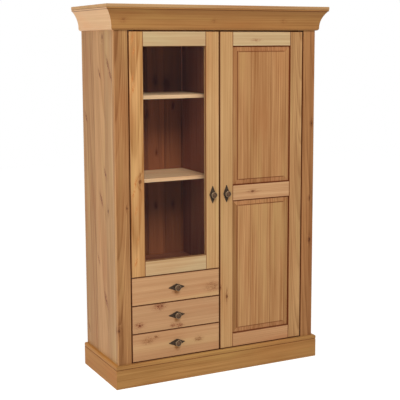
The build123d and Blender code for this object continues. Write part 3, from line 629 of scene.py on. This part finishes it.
# %% A seed for every board
def finish_boards(nodes, grain, tone, seed, **details):
    """Give each named board its own pine, with a seed of its own."""
    for count, name in enumerate(nodes):
        wood = pine(f"pine {name}", grain, tone, seed + 11 * count, **details)
        wood.put_on(BOARDS[name])
        print(f"{name}: pine, grain {grain}, {len(wood.tree.nodes)} nodes")


# %% [markdown]
# ## Stain and painted shade
#
# Through the glass the inside is a dark red brown, while the same boards are honey-coloured outside.
# So the faces inside get darker and redder colours as painted shade, for the shade inside the cupboard.
# Each board is one piece, and a material covers all of it. Two materials on one board would do, but then
# its faces would have to be picked out by hand. A mask that reads how deep a point lies in the board is
# simpler, and goes round the edges.

# %% Stain and painted shade on a part of a board
def stain_and_shade_where(mask, red, green, blue):
    """A function that changes the wood's colour by shares where the mask, read at a point's place, is 1."""
    def draw(finish, wood, dark, places):
        return finish.mix(wood, wood * finish.vector(red, green, blue), mask(*places))
    return draw


INNER_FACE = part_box("side_right")[0][0]
BACK_INNER, BACK_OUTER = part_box("back_boards")[0][1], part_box("back_boards")[1][1]
BACK_MIDDLE = 0.5 * (BACK_INNER + BACK_OUTER)
# The sides' inner faces get painted shade from here inwards, and so does the inner half of the back.
print("the sides are stained from", round(INNER_FACE, 3), "inwards, the back from", round(BACK_MIDDLE, 4))

# %% Painted shade inside, plain pine outside
def side_inside(length, width, depth):
    """The inner face of a side, as far back as the back boards, where painted shade goes; behind them it has
    none.
    """
    face = depth.unsigned().rise(INNER_FACE + 0.001, INNER_FACE + 0.0005)
    return face * width.rise(BACK_OUTER + 0.001, BACK_OUTER)


def back_outside(length, width, depth):
    return depth.rise(BACK_MIDDLE, BACK_MIDDLE + 0.001)


# Painted shade: the sides' inner faces are darkened and reddened for the shade inside the cupboard. The back
# boards carry the dark inside colour, so their outer face is lifted back to plain pine.
INSIDE_SHADE = 0.60, 0.30, 0.25
UNSHADED = 2.4, 3.8, 5.3
painted_shade_inside = stain_and_shade_where(side_inside, *INSIDE_SHADE)
unshaded_outside = stain_and_shade_where(back_outside, *UNSHADED)
# The sides' colour with painted shade, and the back's outer face lifted back to plain pine:
print("stained, the sides reflect", [round(part, 2) for part in shade(SIDE[0], *INSIDE_SHADE)])
print("bare, the back reflects", [round(part, 2) for part in shade(SHADED_BACK[0], *UNSHADED)])

# %% [markdown]
# ## The sides
#
# The sides are glued up from boards about 140 mm wide, and the joint between two of them shows as a thin
# line. The left one has knots and torn marks that catch the eye, so those are listed one by one; the right
# one is left to chance. The front board is a shade paler, and beside the post runs a strip of sapwood, with
# a dark line where the two are glued together.

# %% Marks on the left side
SIDE_BOARD = 0.140
SIDE_SEAM = 0.078
SIDE_START = SIDE_SEAM - 2 * SIDE_BOARD
SIDE_MARKS = (
    (1.533, -0.108, 0.010), (1.484, -0.138, 0.009), (1.483, -0.001, 0.007), (1.266, 0.190, 0.008),
    (1.013, -0.059, 0.008), (0.884, 0.001, 0.010), (0.402, -0.040, 0.012), (0.581, 0.050, 0.007),
    (0.198, 0.200, 0.006),
)
SIDE_KNOTS = (1.652, -0.045, 0.006), (0.839, -0.086, 0.005)
print("the left side has", len(SIDE_MARKS), "torn marks and", len(SIDE_KNOTS), "knots")

# %% Sapwood and the joint with the post
POST_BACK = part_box("post_left")[1][1]


def front_board(length, width, depth):
    return width.rise(SIDE_START + SIDE_BOARD + 0.001, SIDE_START + SIDE_BOARD - 0.001)


def sap_strip(length, width, depth):
    return (width + (length * 15.0).sine() * 0.004).rise(POST_BACK + 0.024, POST_BACK + 0.016)


def post_seam(length, width, depth):
    return width.rise(POST_BACK + 0.004, POST_BACK + 0.001)


print("the side meets the post at", round(POST_BACK, 4))

# %% Finish the sides
side_details = (
    stain_and_shade_where(front_board, 0.98, 1.04, 1.08),
    stain_and_shade_where(sap_strip, 1.10, 1.16, 1.26),
    stain_and_shade_where(post_seam, 0.45, 0.32, 0.28),
    painted_shade_inside,
)
finish_boards(["side_left"], "upright side", SIDE, 3, board_width=SIDE_BOARD, board_start=SIDE_START,
              knots=SIDE_KNOTS, knot_share=0.0, contrast=1.15,
              extras=(dabs(SIDE_MARKS, 2.6, 0.5, 1.15), *side_details))
finish_boards(["side_right"], "upright side", SIDE, 29, board_width=SIDE_BOARD, board_start=SIDE_START,
              knot_share=0.08, board_contrast=0.16, extras=side_details)

# %% [markdown]
# ## The posts
#
# A post is one board with its grain upright. It is cut near the heart of its tree, so the rings make wild
# flames. Its side face and the 3 mm of its front nearest the corner are made much paler, and the 36 mm
# nearest the corner darker. Its outer edge is rubbed by hands and dusters and holds no wax; its inner
# edge, beside the door, has a dark rim.

# %% Paler and darker wood at the corner
POST_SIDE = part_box("post_right")[1][0]


def pale_corner(length, width, depth):
    return width.unsigned().rise(POST_SIDE - 0.003, POST_SIDE - 0.001)


def darker_by_corner(length, width, depth):
    return width.unsigned().rise(POST_SIDE - 0.036, POST_SIDE - 0.014)


print("the corners lie", round(POST_SIDE, 3), "from the middle")

# %% Finish the posts
post_edges = (stain_and_shade_where(darker_by_corner, 0.88, 0.84, 0.82), stain_and_shade_where(pale_corner, 1.55, 1.75, 1.95))
finish_boards(["post_left"], "upright", POST, 5, face=face_of("post_left", "upright", open_low=True),
              knot_share=0.0, knots=((0.863, -0.487, 0.003), (0.279, -0.537, 0.004)), heart=(0.004, 0.030),
              wild=2.0, contrast=1.3, extras=post_edges)
finish_boards(["post_right"], "upright", POST_RIGHT, 8,
              face=face_of("post_right", "upright", open_high=True),
              knots=((1.220, 0.528, 0.004), (0.620, 0.522, 0.005)), heart=(-0.006, 0.024),
              contrast=1.5, ring=0.008, wild=3.0, extras=post_edges)

# %% [markdown]
# ## The boards inside, and the top
#
# Everything that shows through the glass is plainer than the outside: upright boards at the back, a
# partition to the right, and a floor. All of it gets darker and redder colours than the pine outside, as
# painted shade. The front edge of the partition, which shows in the gap between the doors, is darkened
# further as painted shade, and a thin line beside the partition is made paler. They are masks like the
# others. The shelves are the palest of all, paler than the pine itself, as painted light on their tops.
#
# The top board shows its front edge and its ends. An end cuts the fibres across, so it drinks more wax and
# turns darker than the front.

# %% Top board
TOP_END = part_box("top_board")[1][0]


def end_grain(length, width, depth):
    """The sawn ends of the top board, which drink more wax than its faces."""
    return length.unsigned().rise(TOP_END - 0.002, TOP_END - 0.001)


finish_boards(["top_board"], "across flat", FASCIA, 61, board_width=0.118, board_start=-0.236,
              extras=(stain_and_shade_where(end_grain, 0.83, 0.77, 0.72),))

# %% Ceiling, floors and partition
finish_boards(["ceiling_panel", "bottom_panel", "middle_floor"], "across flat", SHADED_INSIDE, 71,
              board_width=0.13, board_start=-0.17)


def front_edge(length, width, depth):
    return width.rise(POST_BACK + 0.002, POST_BACK + 0.001)


# Painted shade: the partition's front edge, which shows in the gap between the doors, is darkened for the
# shade in that gap.
gap_shade = stain_and_shade_where(front_edge, 0.45, 0.28, 0.15)
finish_boards(["partition", "drawer_side_board"], "upright side", SHADED_PARTITION, 91, board_width=0.12,
              extras=(gap_shade,))

# %% Marks on the back
BACK_MARKS = (
    (1.438, -0.162, 0.012), (1.413, -0.100, 0.018), (1.267, -0.211, 0.010), (1.305, -0.063, 0.009),
    (1.071, -0.159, 0.007), (0.795, -0.166, 0.009), (0.791, -0.068, 0.010),
)
PARTITION_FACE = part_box("partition")[0][0]
SHELF_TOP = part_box("left_shelf_upper")[1][2]
MISSED_WIDTH = 0.007


def pale_line(length, width, depth):
    """A thin pale line inside, beside the partition and above the upper shelf."""
    right_of = width.rise(PARTITION_FACE - MISSED_WIDTH, PARTITION_FACE - MISSED_WIDTH + 0.001)
    left_of = width.rise(PARTITION_FACE + 0.001, PARTITION_FACE)
    above = length.rise(SHELF_TOP - 0.003, SHELF_TOP + 0.007)
    return right_of * left_of * above * depth.rise(BACK_MIDDLE, BACK_MIDDLE - 0.001)


# Where the pale line beside the partition starts.
print("the missed line starts at", round(SHELF_TOP, 3), "up and", round(PARTITION_FACE, 4), "across")

# %% Finish the back and the shelves
finish_boards(["back_boards"], "upright", SHADED_BACK, 113, board_width=0.095, board_start=-0.588,
              board_contrast=0.30, knot_share=0.25,
              extras=(dabs(BACK_MARKS, 2.0, 0.0, 1.0), stain_and_shade_where(pale_line, 3.0, 4.0, 6.6),
                      unshaded_outside))
finish_boards(["left_shelf_lower", "left_shelf_upper", "right_shelf_lower", "right_shelf_middle",
               "right_shelf_upper"], "across flat", LIT_SHELF, 131, board_width=0.098)

# %% [markdown]
# ## Cornice and plinth
#
# Both are run from long boards with a moulding plane and mitred at the front corners, so the grain of each
# length follows the wall that it is planted on. A quirk is the narrow groove that a moulding plane leaves
# beside a bead. It holds wax and lies in shade, and both are drawn as one dark line of wax and painted
# shade at one height, because it is level all round.

# %% Dark lines along a moulding
QUIRK = 0.0016


def wax_and_shade_quirks(*levels):
    """A function that draws a thin dark line of old wax and painted shade at each height, in metres.

    On a moulding the second of a point's places is its height."""
    def draw(finish, wood, dark, places):
        for level in levels:
            line = ((places[1] - level) / QUIRK).bell()
            wood = finish.mix(wood, OLD_WAX, line * 0.7)
        return wood
    return draw


CORNICE_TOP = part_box("cornice_front")[1][2]
CORNICE_BEAD = 0.008
PLINTH_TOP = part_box("plinth_front")[1][2]
PLINTH_BEAD = 0.018
cornice_quirks = wax_and_shade_quirks(CORNICE_TOP, CORNICE_TOP - CORNICE_BEAD)
plinth_quirks = wax_and_shade_quirks(PLINTH_TOP - PLINTH_BEAD - 0.001)
print("quirks lie at", round(CORNICE_TOP - CORNICE_BEAD, 3), "and", round(PLINTH_TOP - PLINTH_BEAD, 3))

# %% Finish the mouldings
CORNICE_MARKS = (-0.501, 1.729, 0.011), (-0.036, 1.727, 0.009), (0.347, 1.728, 0.010)
finish_boards(["cornice_front"], "across", CORNICE, 151, knot_share=0.0, contrast=0.9,
              extras=(dabs(CORNICE_MARKS, 1.5, 0.0, 0.35), cornice_quirks))
finish_boards(["cornice_left"], "back to front", LIT_RETURN, 163, knot_share=0.0, contrast=0.5,
              extras=(cornice_quirks,))
finish_boards(["cornice_right"], "back to front", RETURN_RIGHT, 174, extras=(cornice_quirks,))
finish_boards(["plinth_front"], "across", PLINTH, 181, knot_share=0.0, contrast=1.2,
              extras=(plinth_quirks,))
finish_boards(["plinth_left", "plinth_right"], "back to front", PLINTH_SIDE, 191, knot_share=0.0,
              contrast=0.7, extras=(plinth_quirks,))

# %% [markdown]
# ## Doors and drawers
#
# Stiles run upright and rails across, and a rail is cut between the stiles, so the grain changes direction
# at each joint. That change is what makes a framed door read as a frame. Stiles and rails differ in tone
# too, because each was sawn from its own board: the rails of both doors are paler and greener than the
# stiles, and the panelled door's middle and bottom rails are redder.

# %% A stile or a rail
TENON = 0.030


def frame_piece(node, grain, tone, seed, **details):
    """A stile or rail: dark wax lies along its edges, and a rail's tenons are hidden in the stiles."""
    tenon = TENON if grain == "across" else 0.0
    finish_boards([node], grain, tone, seed, face=face_of(node, grain, tenon), **details)


print("each tenon is", round(TENON * 1000), "mm long")

# %% [markdown]
# ### The glazed door's hinge stile
#
# This is the liveliest board of the front: broad flames, one knot halfway up, and a row of orange marks that
# climb along it. Its rings are set wide and made to sway, and its heart lies just behind it.

# %% Finish the hinge stile
STILE_MARKS = (
    (1.641, -0.451, 0.005), (1.586, -0.444, 0.004), (1.465, -0.452, 0.005), (1.419, -0.448, 0.006),
    (0.977, -0.442, 0.006), (0.930, -0.452, 0.005), (0.848, -0.440, 0.004), (0.706, -0.433, 0.004),
    (0.603, -0.444, 0.005),
)
frame_piece("glass_door_stile_hinge", "upright", STILE, 211, knots=((0.984, -0.419, 0.006),),
            heart=(0.012, 0.028), contrast=1.6, ring=0.009, wild=4.0, blush=0.5,
            extras=(dabs(STILE_MARKS, 4.0, 0.25, 0.9, ORANGE),))

# %% Finish the other stiles and the rails
frame_piece("glass_door_stile_knob", "upright", HONEY, 223, knot_share=0.0)
frame_piece("panel_door_stile_knob", "upright", HONEY, 231, knots=((0.379, 0.040, 0.005),), wild=2.0)
# Rims with wax 0.95, on this stile and on the top and middle rails, are darker than on the other pieces,
# partly as painted shade under the rails.
frame_piece("panel_door_stile_hinge", "upright", RED_STILE, 241, heart=(-0.03, 0.026), wild=2.0,
            contrast=1.3, wax=0.95)
frame_piece("glass_door_rail_top", "across", TOP_RAIL, 251, knot_share=0.0)
frame_piece("glass_door_rail_bottom", "across", RAIL, 261, knot_share=0.0)
frame_piece("panel_door_rail_bottom", "across", RED_RAIL, 271, knot_share=0.1)
frame_piece("panel_door_rail_top", "across", RAIL, 281, knot_share=0.0, wax=0.95,
            extras=(dabs(((0.203, 1.637, 0.007),), 3.5, 0.0, 0.5),))
frame_piece("panel_door_rail_middle", "across", DRAWER, 293, knots=((0.185, 0.896, 0.005),),
            knot_share=0.0, wax=0.95)
finish_boards(["glass_beads"], "upright", HONEY, 331)

# %% [markdown]
# ### Raised panels
#
# Each panel is planed down to a thin tongue all round, which leaves its middle standing as a raised field
# with a small step at its edge. At the top and the bottom the bevel cuts across the grain. The open ends of
# the fibres drink the wax there, so the bevel is redder, with short upright dashes, and its step is the
# darkest line of the door. Down the long sides the plane goes with the grain; there the step line is strong
# on the left and faint on the right, and the left bevel, most of all on the lower panel, is darker: wax and
# painted shade together. Where the panel goes into the frame, under the rails and beside the right stile, a
# dark line of painted shade and wax is drawn.
#
# The bevels themselves are in the board's shape. Only the wax and painted shade on them are drawn here,
# from how far a point lies inside the raised field and inside the door's opening.

# %% The field and the opening of a panel
PANEL_TONGUE = 0.009
PANEL_BEVEL = 0.026


def shrunk(face, inset):
    """A rectangle made smaller by the same inset on every side."""
    length_low, length_high, width_low, width_high = face
    return length_low + inset, length_high - inset, width_low + inset, width_high - inset


upper_field = shrunk(face_of("panel_door_panel_upper", "upright"), PANEL_TONGUE + PANEL_BEVEL)
print("the upper field is", round(upper_field[3] - upper_field[2], 3), "wide and",
      round(upper_field[1] - upper_field[0], 3), "high")

# %% Wax and painted shade on the bevels
SOAKED = (1.70, 1.75, 2.60), (0.85, 0.66, 0.64)
SHADED = 0.62, 0.52, 0.42


def bevels(panel, left_shade_and_wax):
    """A function that draws wax and painted shade on a panel's bevels, its step, and where it enters the
    frame.

    The last argument is how much painted shade and wax lie on the left bevel, from 0 to 1."""
    face = face_of(panel, "upright")
    field = shrunk(face, PANEL_TONGUE + PANEL_BEVEL)
    opening = shrunk(face, PANEL_TONGUE)

    def draw(finish, wood, dark, places):
        length, width, depth = places
        along, across = inside_by(length, width, field)
        end = along.rise(0.0, -0.002) * (across - along).rise(-0.001, 0.001)
        dashes = finish.noise((length * 12.0, width * 190.0, 0.5), 2.0, 0.6)
        soaked = finish.mix(*[shade(dark, *tone) for tone in SOAKED], dashes.rise(0.40, 0.60))
        wood = finish.mix(wood, soaked, end * 0.50)
        end_step = ((along - 0.0006) / 0.0020).bell() * across.rise(0.0, 0.012)
        side_step = ((across - 0.0006) / 0.0022).bell() * along.rise(-0.004, 0.0)
        # Wax and painted shade: the step line beside the field is strong on the left and faint on the right,
        # and the left bevel is darkened.
        to_left = (width - 0.5 * (field[2] + field[3])).rise(0.01, -0.01)
        left_bevel = to_left * across.rise(0.0, -0.002) * (1.0 - end)
        wood = finish.mix(wood, wood * finish.vector(*SHADED), left_bevel * left_shade_and_wax)
        wood = finish.mix(wood, OLD_WAX, side_step * (0.25 + 0.70 * to_left))
        wood = finish.mix(wood, OLD_WAX, end_step * 0.90)
        # Painted shade and wax: a dark line where the panel goes in under the rails and beside the right
        # stile.
        near_end = inside_by(length, width, opening)[0]
        right = (opening[3] - width).rise(0.0060, 0.0020)
        return finish.mix(wood, OLD_WAX, near_end.rise(0.0065, 0.0025).at_least(right) * 0.95)
    return draw


# %% Finish the raised panels
for panel, tone, seed, left_shade_and_wax in (
    ("panel_door_panel_upper", UPPER_PANEL, 307, 0.1),
    ("panel_door_panel_lower", PANEL, 319, 0.9),
):
    finish_boards([panel], "upright", tone, seed, board_width=0.115, board_start=0.06, knot_share=0.03,
                  contrast=1.35, extras=(bevels(panel, left_shade_and_wax),), board_contrast=0.08, blush=0.2)

# %% [markdown]
# ### Drawer fronts
#
# The drawers are cut from boards with more torn marks, red on the middle one and umber on the others.
# Just below each knob the wood is darkened and warmed: a painted shadow of the knob, with a warm painted
# reflection. The three share one recipe, so a table holds what differs: the tone, how strong the marks are,
# their hue, and where they lie.

# %% Marks on the drawers
DRAWER_MARKS = {
    "drawer_top": (DRAWER, 0.7, UMBER, ((-0.040, 0.440, 0.020), (-0.248, 0.437, 0.006))),
    "drawer_middle": (MIDDLE_DRAWER, 1.0, DARK_RED, ((-0.325, 0.373, 0.015), (-0.433, 0.293, 0.012),
                                                     (-0.253, 0.271, 0.008), (-0.222, 0.268, 0.010))),
    "drawer_bottom": (DRAWER, 0.9, UMBER, ((-0.389, 0.213, 0.014), (-0.346, 0.224, 0.008),
                                           (-0.117, 0.184, 0.011))),
}
print("the drawers have", [len(marks) for *_, marks in DRAWER_MARKS.values()], "marks")

# %% Painted shadow below the knobs
KNOB_SHADOW = 0.77, 0.59, 0.38


def knob_shadow_below(knob):
    """A function that paints the knob's shadow and warm reflection on the wood just below a knob."""
    low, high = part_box(knob)
    spot = (0.5 * (low[0] + high[0]), low[2] - 0.006, 0.013)
    return stain_and_shade_where(lambda length, width, depth: knot_distance(length, width, spot, 1.0).bell(),
                         *KNOB_SHADOW)


# %% Finish the drawer fronts
for count, (drawer, (tone, strength, hue, marks)) in enumerate(DRAWER_MARKS.items()):
    front = f"{drawer}_front"
    finish_boards([front], "across", tone, 341 + 12 * count, face=face_of(front, "across"), contrast=0.7,
                  knot_share=0.0,
                  extras=(dabs(marks, 1.7, 0.0, strength, hue), knob_shadow_below(f"{drawer}_knob")))

# %% [markdown]
# ## Plain beech for what slides
#
# Drawer walls and runners are usually a closer, harder wood than the outside. Beech has no flames: only
# fine flecks along the grain. The pine recipe could be turned down until it showed no rings, but a recipe of
# its own is shorter: stretched noise for the flecks, and soft noise for the clouds.

# %% Beech
FLECK = 60.0, 700.0


def beech(name, grain, seed):
    """Beech: even, with short darker flecks."""
    finish = Finish(name)
    length, width, depth = GRAIN[grain](*finish.place())
    fleck = finish.grained((length, width, depth), FLECK, 1.0).rise(0.56, 0.72)
    cloud = finish.noise((length * 5.0 + seed, width * 20.0, depth * 20.0), 3.0)
    wood = finish.mix(colour(222, 186, 142), colour(196, 152, 108), cloud)
    wood = finish.mix(wood, colour(150, 102, 66), fleck * 0.45)
    finish.set(Base_Color=wood, Roughness=0.55 + 0.1 * cloud)
    finish.bump(fleck, 0.0002, 0.4)
    return finish


print("a fleck is about", round(FLECK[1] / FLECK[0]), "times as long as wide")

# %% Finish the drawer boxes
beech("beech long", "back to front", 2.0).put_on(BOARDS["drawer_runners"])
for count, drawer in enumerate(("drawer_bottom", "drawer_middle", "drawer_top")):
    beech(f"beech walls {drawer}", "back to front", 3.0 + count).put_on(BOARDS[f"{drawer}_walls"])
    beech(f"beech bottom {drawer}", "across flat", 7.0 + count).put_on(BOARDS[f"{drawer}_bottom"])
    print(f"{drawer}: walls and bottom of beech")

# %% [markdown]
# ## Glass
#
# The glass is plain 4 mm sheet, and a faint film of dust on it greys what stands behind. A shader that bends
# light through glass would be truer, but it lets less light into the cupboard and takes longer to render.
# A sheet bends nothing that the eye can see, so it is made almost clear instead: gloss, and a little dust.

# %% Finish the glass
DUST = 0.03


def glass():
    finish = Finish("window glass")
    x, y, z = finish.place()
    smear = finish.noise((x * 6.0, y, z * 4.0))
    finish.set(Base_Color=(*colour(74, 80, 92), 1.0), Roughness=0.02 + 0.03 * smear, Alpha=DUST, IOR=1.5)
    return finish


glass().put_on(BOARDS["glass_pane"])
print("the pane is glazed;", round(100 * DUST), "percent of it is dust")

# %% [markdown]
# ## Bronze knobs
#
# The knobs are cast and antiqued: dark brown in the hollows, rubbed back to warm bronze on the raised rim,
# with dirt in the groove inside it. Wear like this follows the shape, so it is drawn by how far a point lies
# from the knob's own axis, and patina from noise breaks it up.

# %% Bronze
KNOB_RIM = 0.0112, 0.0128
KNOB_GROOVE = 0.0106


def bronze(node):
    """Bronze for one knob, rubbed bright on its raised rim, with dirt in the groove inside it."""
    low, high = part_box(node)
    finish = Finish(f"antiqued bronze {node}")
    x, y, z = finish.place()
    aside, above = x - (low[0] + high[0]) / 2, z - (low[2] + high[2]) / 2
    from_axis = (aside * aside + above * above).root()
    patina = finish.noise((x, y, z), 4.0, scale=260.0)
    metal = finish.mix(colour(66, 46, 34), colour(112, 84, 60), patina)
    metal = finish.mix(metal, colour(146, 124, 96), from_axis.rise(*KNOB_RIM) * (0.25 + 0.7 * patina))
    metal = finish.mix(metal, colour(36, 25, 18), ((from_axis - KNOB_GROOVE) / 0.0011).bell() * 0.85)
    finish.set(Base_Color=metal, Metallic=0.85, Roughness=0.44 - 0.12 * patina)
    finish.bump(patina, 0.0002, 0.4)
    return finish


# %% Finish the knobs
OWNERS = ("glass_door", "panel_door", "drawer_bottom", "drawer_middle", "drawer_top")
for owner in OWNERS:
    bronze(f"{owner}_knob").put_on(BOARDS[f"{owner}_knob"])
print(len(OWNERS), "knobs are bronzed")

# %% [markdown]
# ## Iron plates
#
# The diamond plates behind the knobs are iron, blackened by fire: rough, brown-black, and almost without
# gloss. A full metal shader would mirror the white surround and look like polished steel. Fire scale isn't
# bare metal, so the metal share is kept low and the roughness high. One noise between two close colours is
# all that a thing so small needs, and the pins, hinges and catches use the same recipe later on.

# %% One noise between two colours
def speckled(name, low, high, scale, detail, rough, relief=None, spread=None, **settings):
    """A finish of one noise between two colours; spread sharpens it, and relief is the bump's size.

    rough is the least roughness and how much the noise adds to it."""
    finish = Finish(name)
    speck = finish.noise(finish.place(), detail, scale=scale)
    share = speck.rise(*spread) if spread else speck
    finish.set(Base_Color=finish.mix(low, high, share), Roughness=rough[0] + rough[1] * speck, **settings)
    if relief:
        finish.bump(speck, *relief)
    return finish


blackened = speckled("blackened iron", colour(44, 33, 24), colour(80, 63, 47), 320.0, 4.0, (0.62, 0.2),
                     relief=(0.0003, 0.6), spread=(0.3, 0.75), Metallic=0.15, Specular_IOR_Level=0.2)
blackened.put_on(*[BOARDS[f"{owner}_knob_plate"] for owner in OWNERS])
print(len(OWNERS), "plates are blackened")

# %% [markdown]
# ## Pins, hinges and catches
#
# These show only with a door open. The shelf pins are zinc plated, the hinges and their bushes are bronzed
# to go with the knobs, and the magnetic catches are brown moulded plastic.

# %% Plated steel
ZINC = colour(150, 152, 152), colour(190, 192, 190)
BRONZED = colour(52, 38, 28), colour(84, 62, 46)
for name, tone, pieces in (
    ("zinc plated steel", ZINC, ["shelf_pins"]),
    ("bronzed steel", BRONZED, ["pivot_hinges", "glass_door_fittings", "panel_door_fittings"]),
):
    plated = speckled(name, *tone, 180.0, 3.0, (0.34, 0.15), Metallic=0.9)
    plated.put_on(*[BOARDS[piece] for piece in pieces])
    print(name, "on", ", ".join(pieces))

# %% Brown plastic
plastic = speckled("brown plastic", colour(66, 44, 32), colour(78, 54, 40), 900.0, 2.0, (0.5, 0.1),
                   relief=(0.0001, 0.5))
plastic.put_on(BOARDS["magnetic_catches"])
bare = [name for name, board in BOARDS.items() if not board.data.materials]
print(len(BOARDS), "pieces in all, and these have no finish yet:", bare)

# %% [markdown]
# ## The floor
#
# The cabinet stands on a pale floor that runs into a white background. If light alone made the floor white,
# it would be far too strong for the wood. So a ray that comes straight from the camera, or by way of metal
# or glass, finds a floor that glows a little by itself and still takes the cabinet's shadow, and every other
# ray finds a plain pale floor, which lights the cabinet from below as a real one would.

# %% Which rays look, and which carry light
WHITE_LIFT = 0.87


def looked_at(nodes):
    """1 for a ray that shows the background, also in metal or through glass, and 0 for one that lights."""
    rays = nodes.node("ShaderNodeLightPath", {}, {})
    in_metal, through_glass = rays.part("Is Glossy Ray"), rays.part("Is Transmission Ray")
    return rays.part("Is Camera Ray").at_least(in_metal).at_least(through_glass)


print("the floor's own glow is", WHITE_LIFT, "of white")

# %% Floor
FLOOR = 8.0
floor_mesh = bpy.data.meshes.new("floor")
floor_mesh.from_pydata([(-FLOOR, -FLOOR, 0), (FLOOR, -FLOOR, 0), (FLOOR, FLOOR, 0), (-FLOOR, FLOOR, 0)],
                       [], [(0, 1, 2, 3)])
floor = bpy.data.objects.new("floor", floor_mesh)
bpy.context.scene.collection.objects.link(floor)
floor_paint = Finish("pale floor")
floor_paint.set(Base_Color=(*colour(240, 240, 240), 1.0), Roughness=0.9, Specular_IOR_Level=0.0)
dim = floor_paint.node("ShaderNodeBsdfDiffuse", {}, {"Color": (0.30, 0.30, 0.30, 1.0)})
glow = floor_paint.node("ShaderNodeEmission", {}, {"Color": (1.0, 1.0, 1.0, 1.0), "Strength": WHITE_LIFT})
lifted = floor_paint.node("ShaderNodeAddShader", {}, {0: dim, 1: glow})
plain = Wire(floor_paint, floor_paint.shader.outputs["BSDF"])
seen_floor = floor_paint.node("ShaderNodeMixShader", {}, {0: looked_at(floor_paint), 1: plain, 2: lifted})
floor_paint.join(floor_paint.tree.nodes["Material Output"].inputs["Surface"], seen_floor)
floor_paint.put_on(floor)
print("the floor is", 2 * FLOOR, "metres square")

# %% [markdown]
# ## Light
#
# The wood should come out about as it was mixed, with soft shadows and no glare. A photographer uses a large
# soft box and a white room for that. Here two square lamps stand to the front left, one high and one beside
# the cabinet, and a white surround fills in the rest. The surround is bright only to the eye: the light that
# it gives is turned down, or the inside of the cupboard would look as bright as the outside.

# %% The white surround
AMBIENT = 0.39
world = bpy.data.worlds.new("white surround")
world.use_nodes = True
bpy.context.scene.world = world
surround = Nodes(world.node_tree)
background = world.node_tree.nodes["Background"]
surround.join(background.inputs["Strength"], looked_at(surround) * (1.0 - AMBIENT) + AMBIENT)
background.inputs["Color"].default_value = (1.0, 1.0, 1.0, 1.0)
print("the surround gives", AMBIENT, "of the light that it shows")

# %% Lamps
def lamp(name, place, aim, size, power):
    """A square soft box that points at a spot."""
    data = bpy.data.lights.new(name, "AREA")
    data.shape = "SQUARE"
    data.size = size
    data.energy = power
    made = bpy.data.objects.new(name, data)
    made.location = place
    made.rotation_euler = (Vector(aim) - Vector(place)).to_track_quat("-Z", "Y").to_euler()
    bpy.context.scene.collection.objects.link(made)
    print(f"{name} lamp: {power} W, {size} m wide, {(Vector(aim) - Vector(place)).length:.1f} m away")


lamp("key", (-1.2, -5.0, 5.4), (0.0, 0.0, 0.9), 2.4, 285.0)
lamp("side", (-5.4, -1.6, 1.8), (0.0, 0.0, 0.9), 2.2, 110.0)

# %% [markdown]
# ## The camera
#
# The picture was taken from the left, at eye height and some five metres off. Its place and its turns were
# found by matching the corners of the cornice, the doors and the plinth, one after the other, until the
# model's corners fell on the real ones. The picture's middle lies a little below the lens's own, so the
# frame is shifted, as a view camera does, rather than tilted, which would make the uprights lean.

# %% Camera
CAMERA_PLACE = Vector((-2.1666, -4.2796, 1.6181))
YAW, PITCH, ROLL = math.radians(26.711), math.radians(7.91), math.radians(-0.216)
camera = bpy.data.objects.new("camera", bpy.data.cameras.new("camera"))
bpy.context.scene.collection.objects.link(camera)
camera.data.sensor_width = 36.0
camera.data.lens = 86.58
camera.data.shift_y = -22.0 / 400.0
aim = Matrix.Rotation(-YAW, 4, "Z") @ Matrix.Rotation(math.pi / 2 - PITCH, 4, "X")
camera.matrix_world = Matrix.Translation(CAMERA_PLACE) @ aim @ Matrix.Rotation(ROLL, 4, "Z")
bpy.context.scene.camera = camera
bpy.context.scene.view_settings.view_transform = "Standard"
print("the camera looks from", [round(value, 2) for value in CAMERA_PLACE])

# %% [markdown]
# ## Size
#
# The dressed cabinet must be as large as its CAD model.
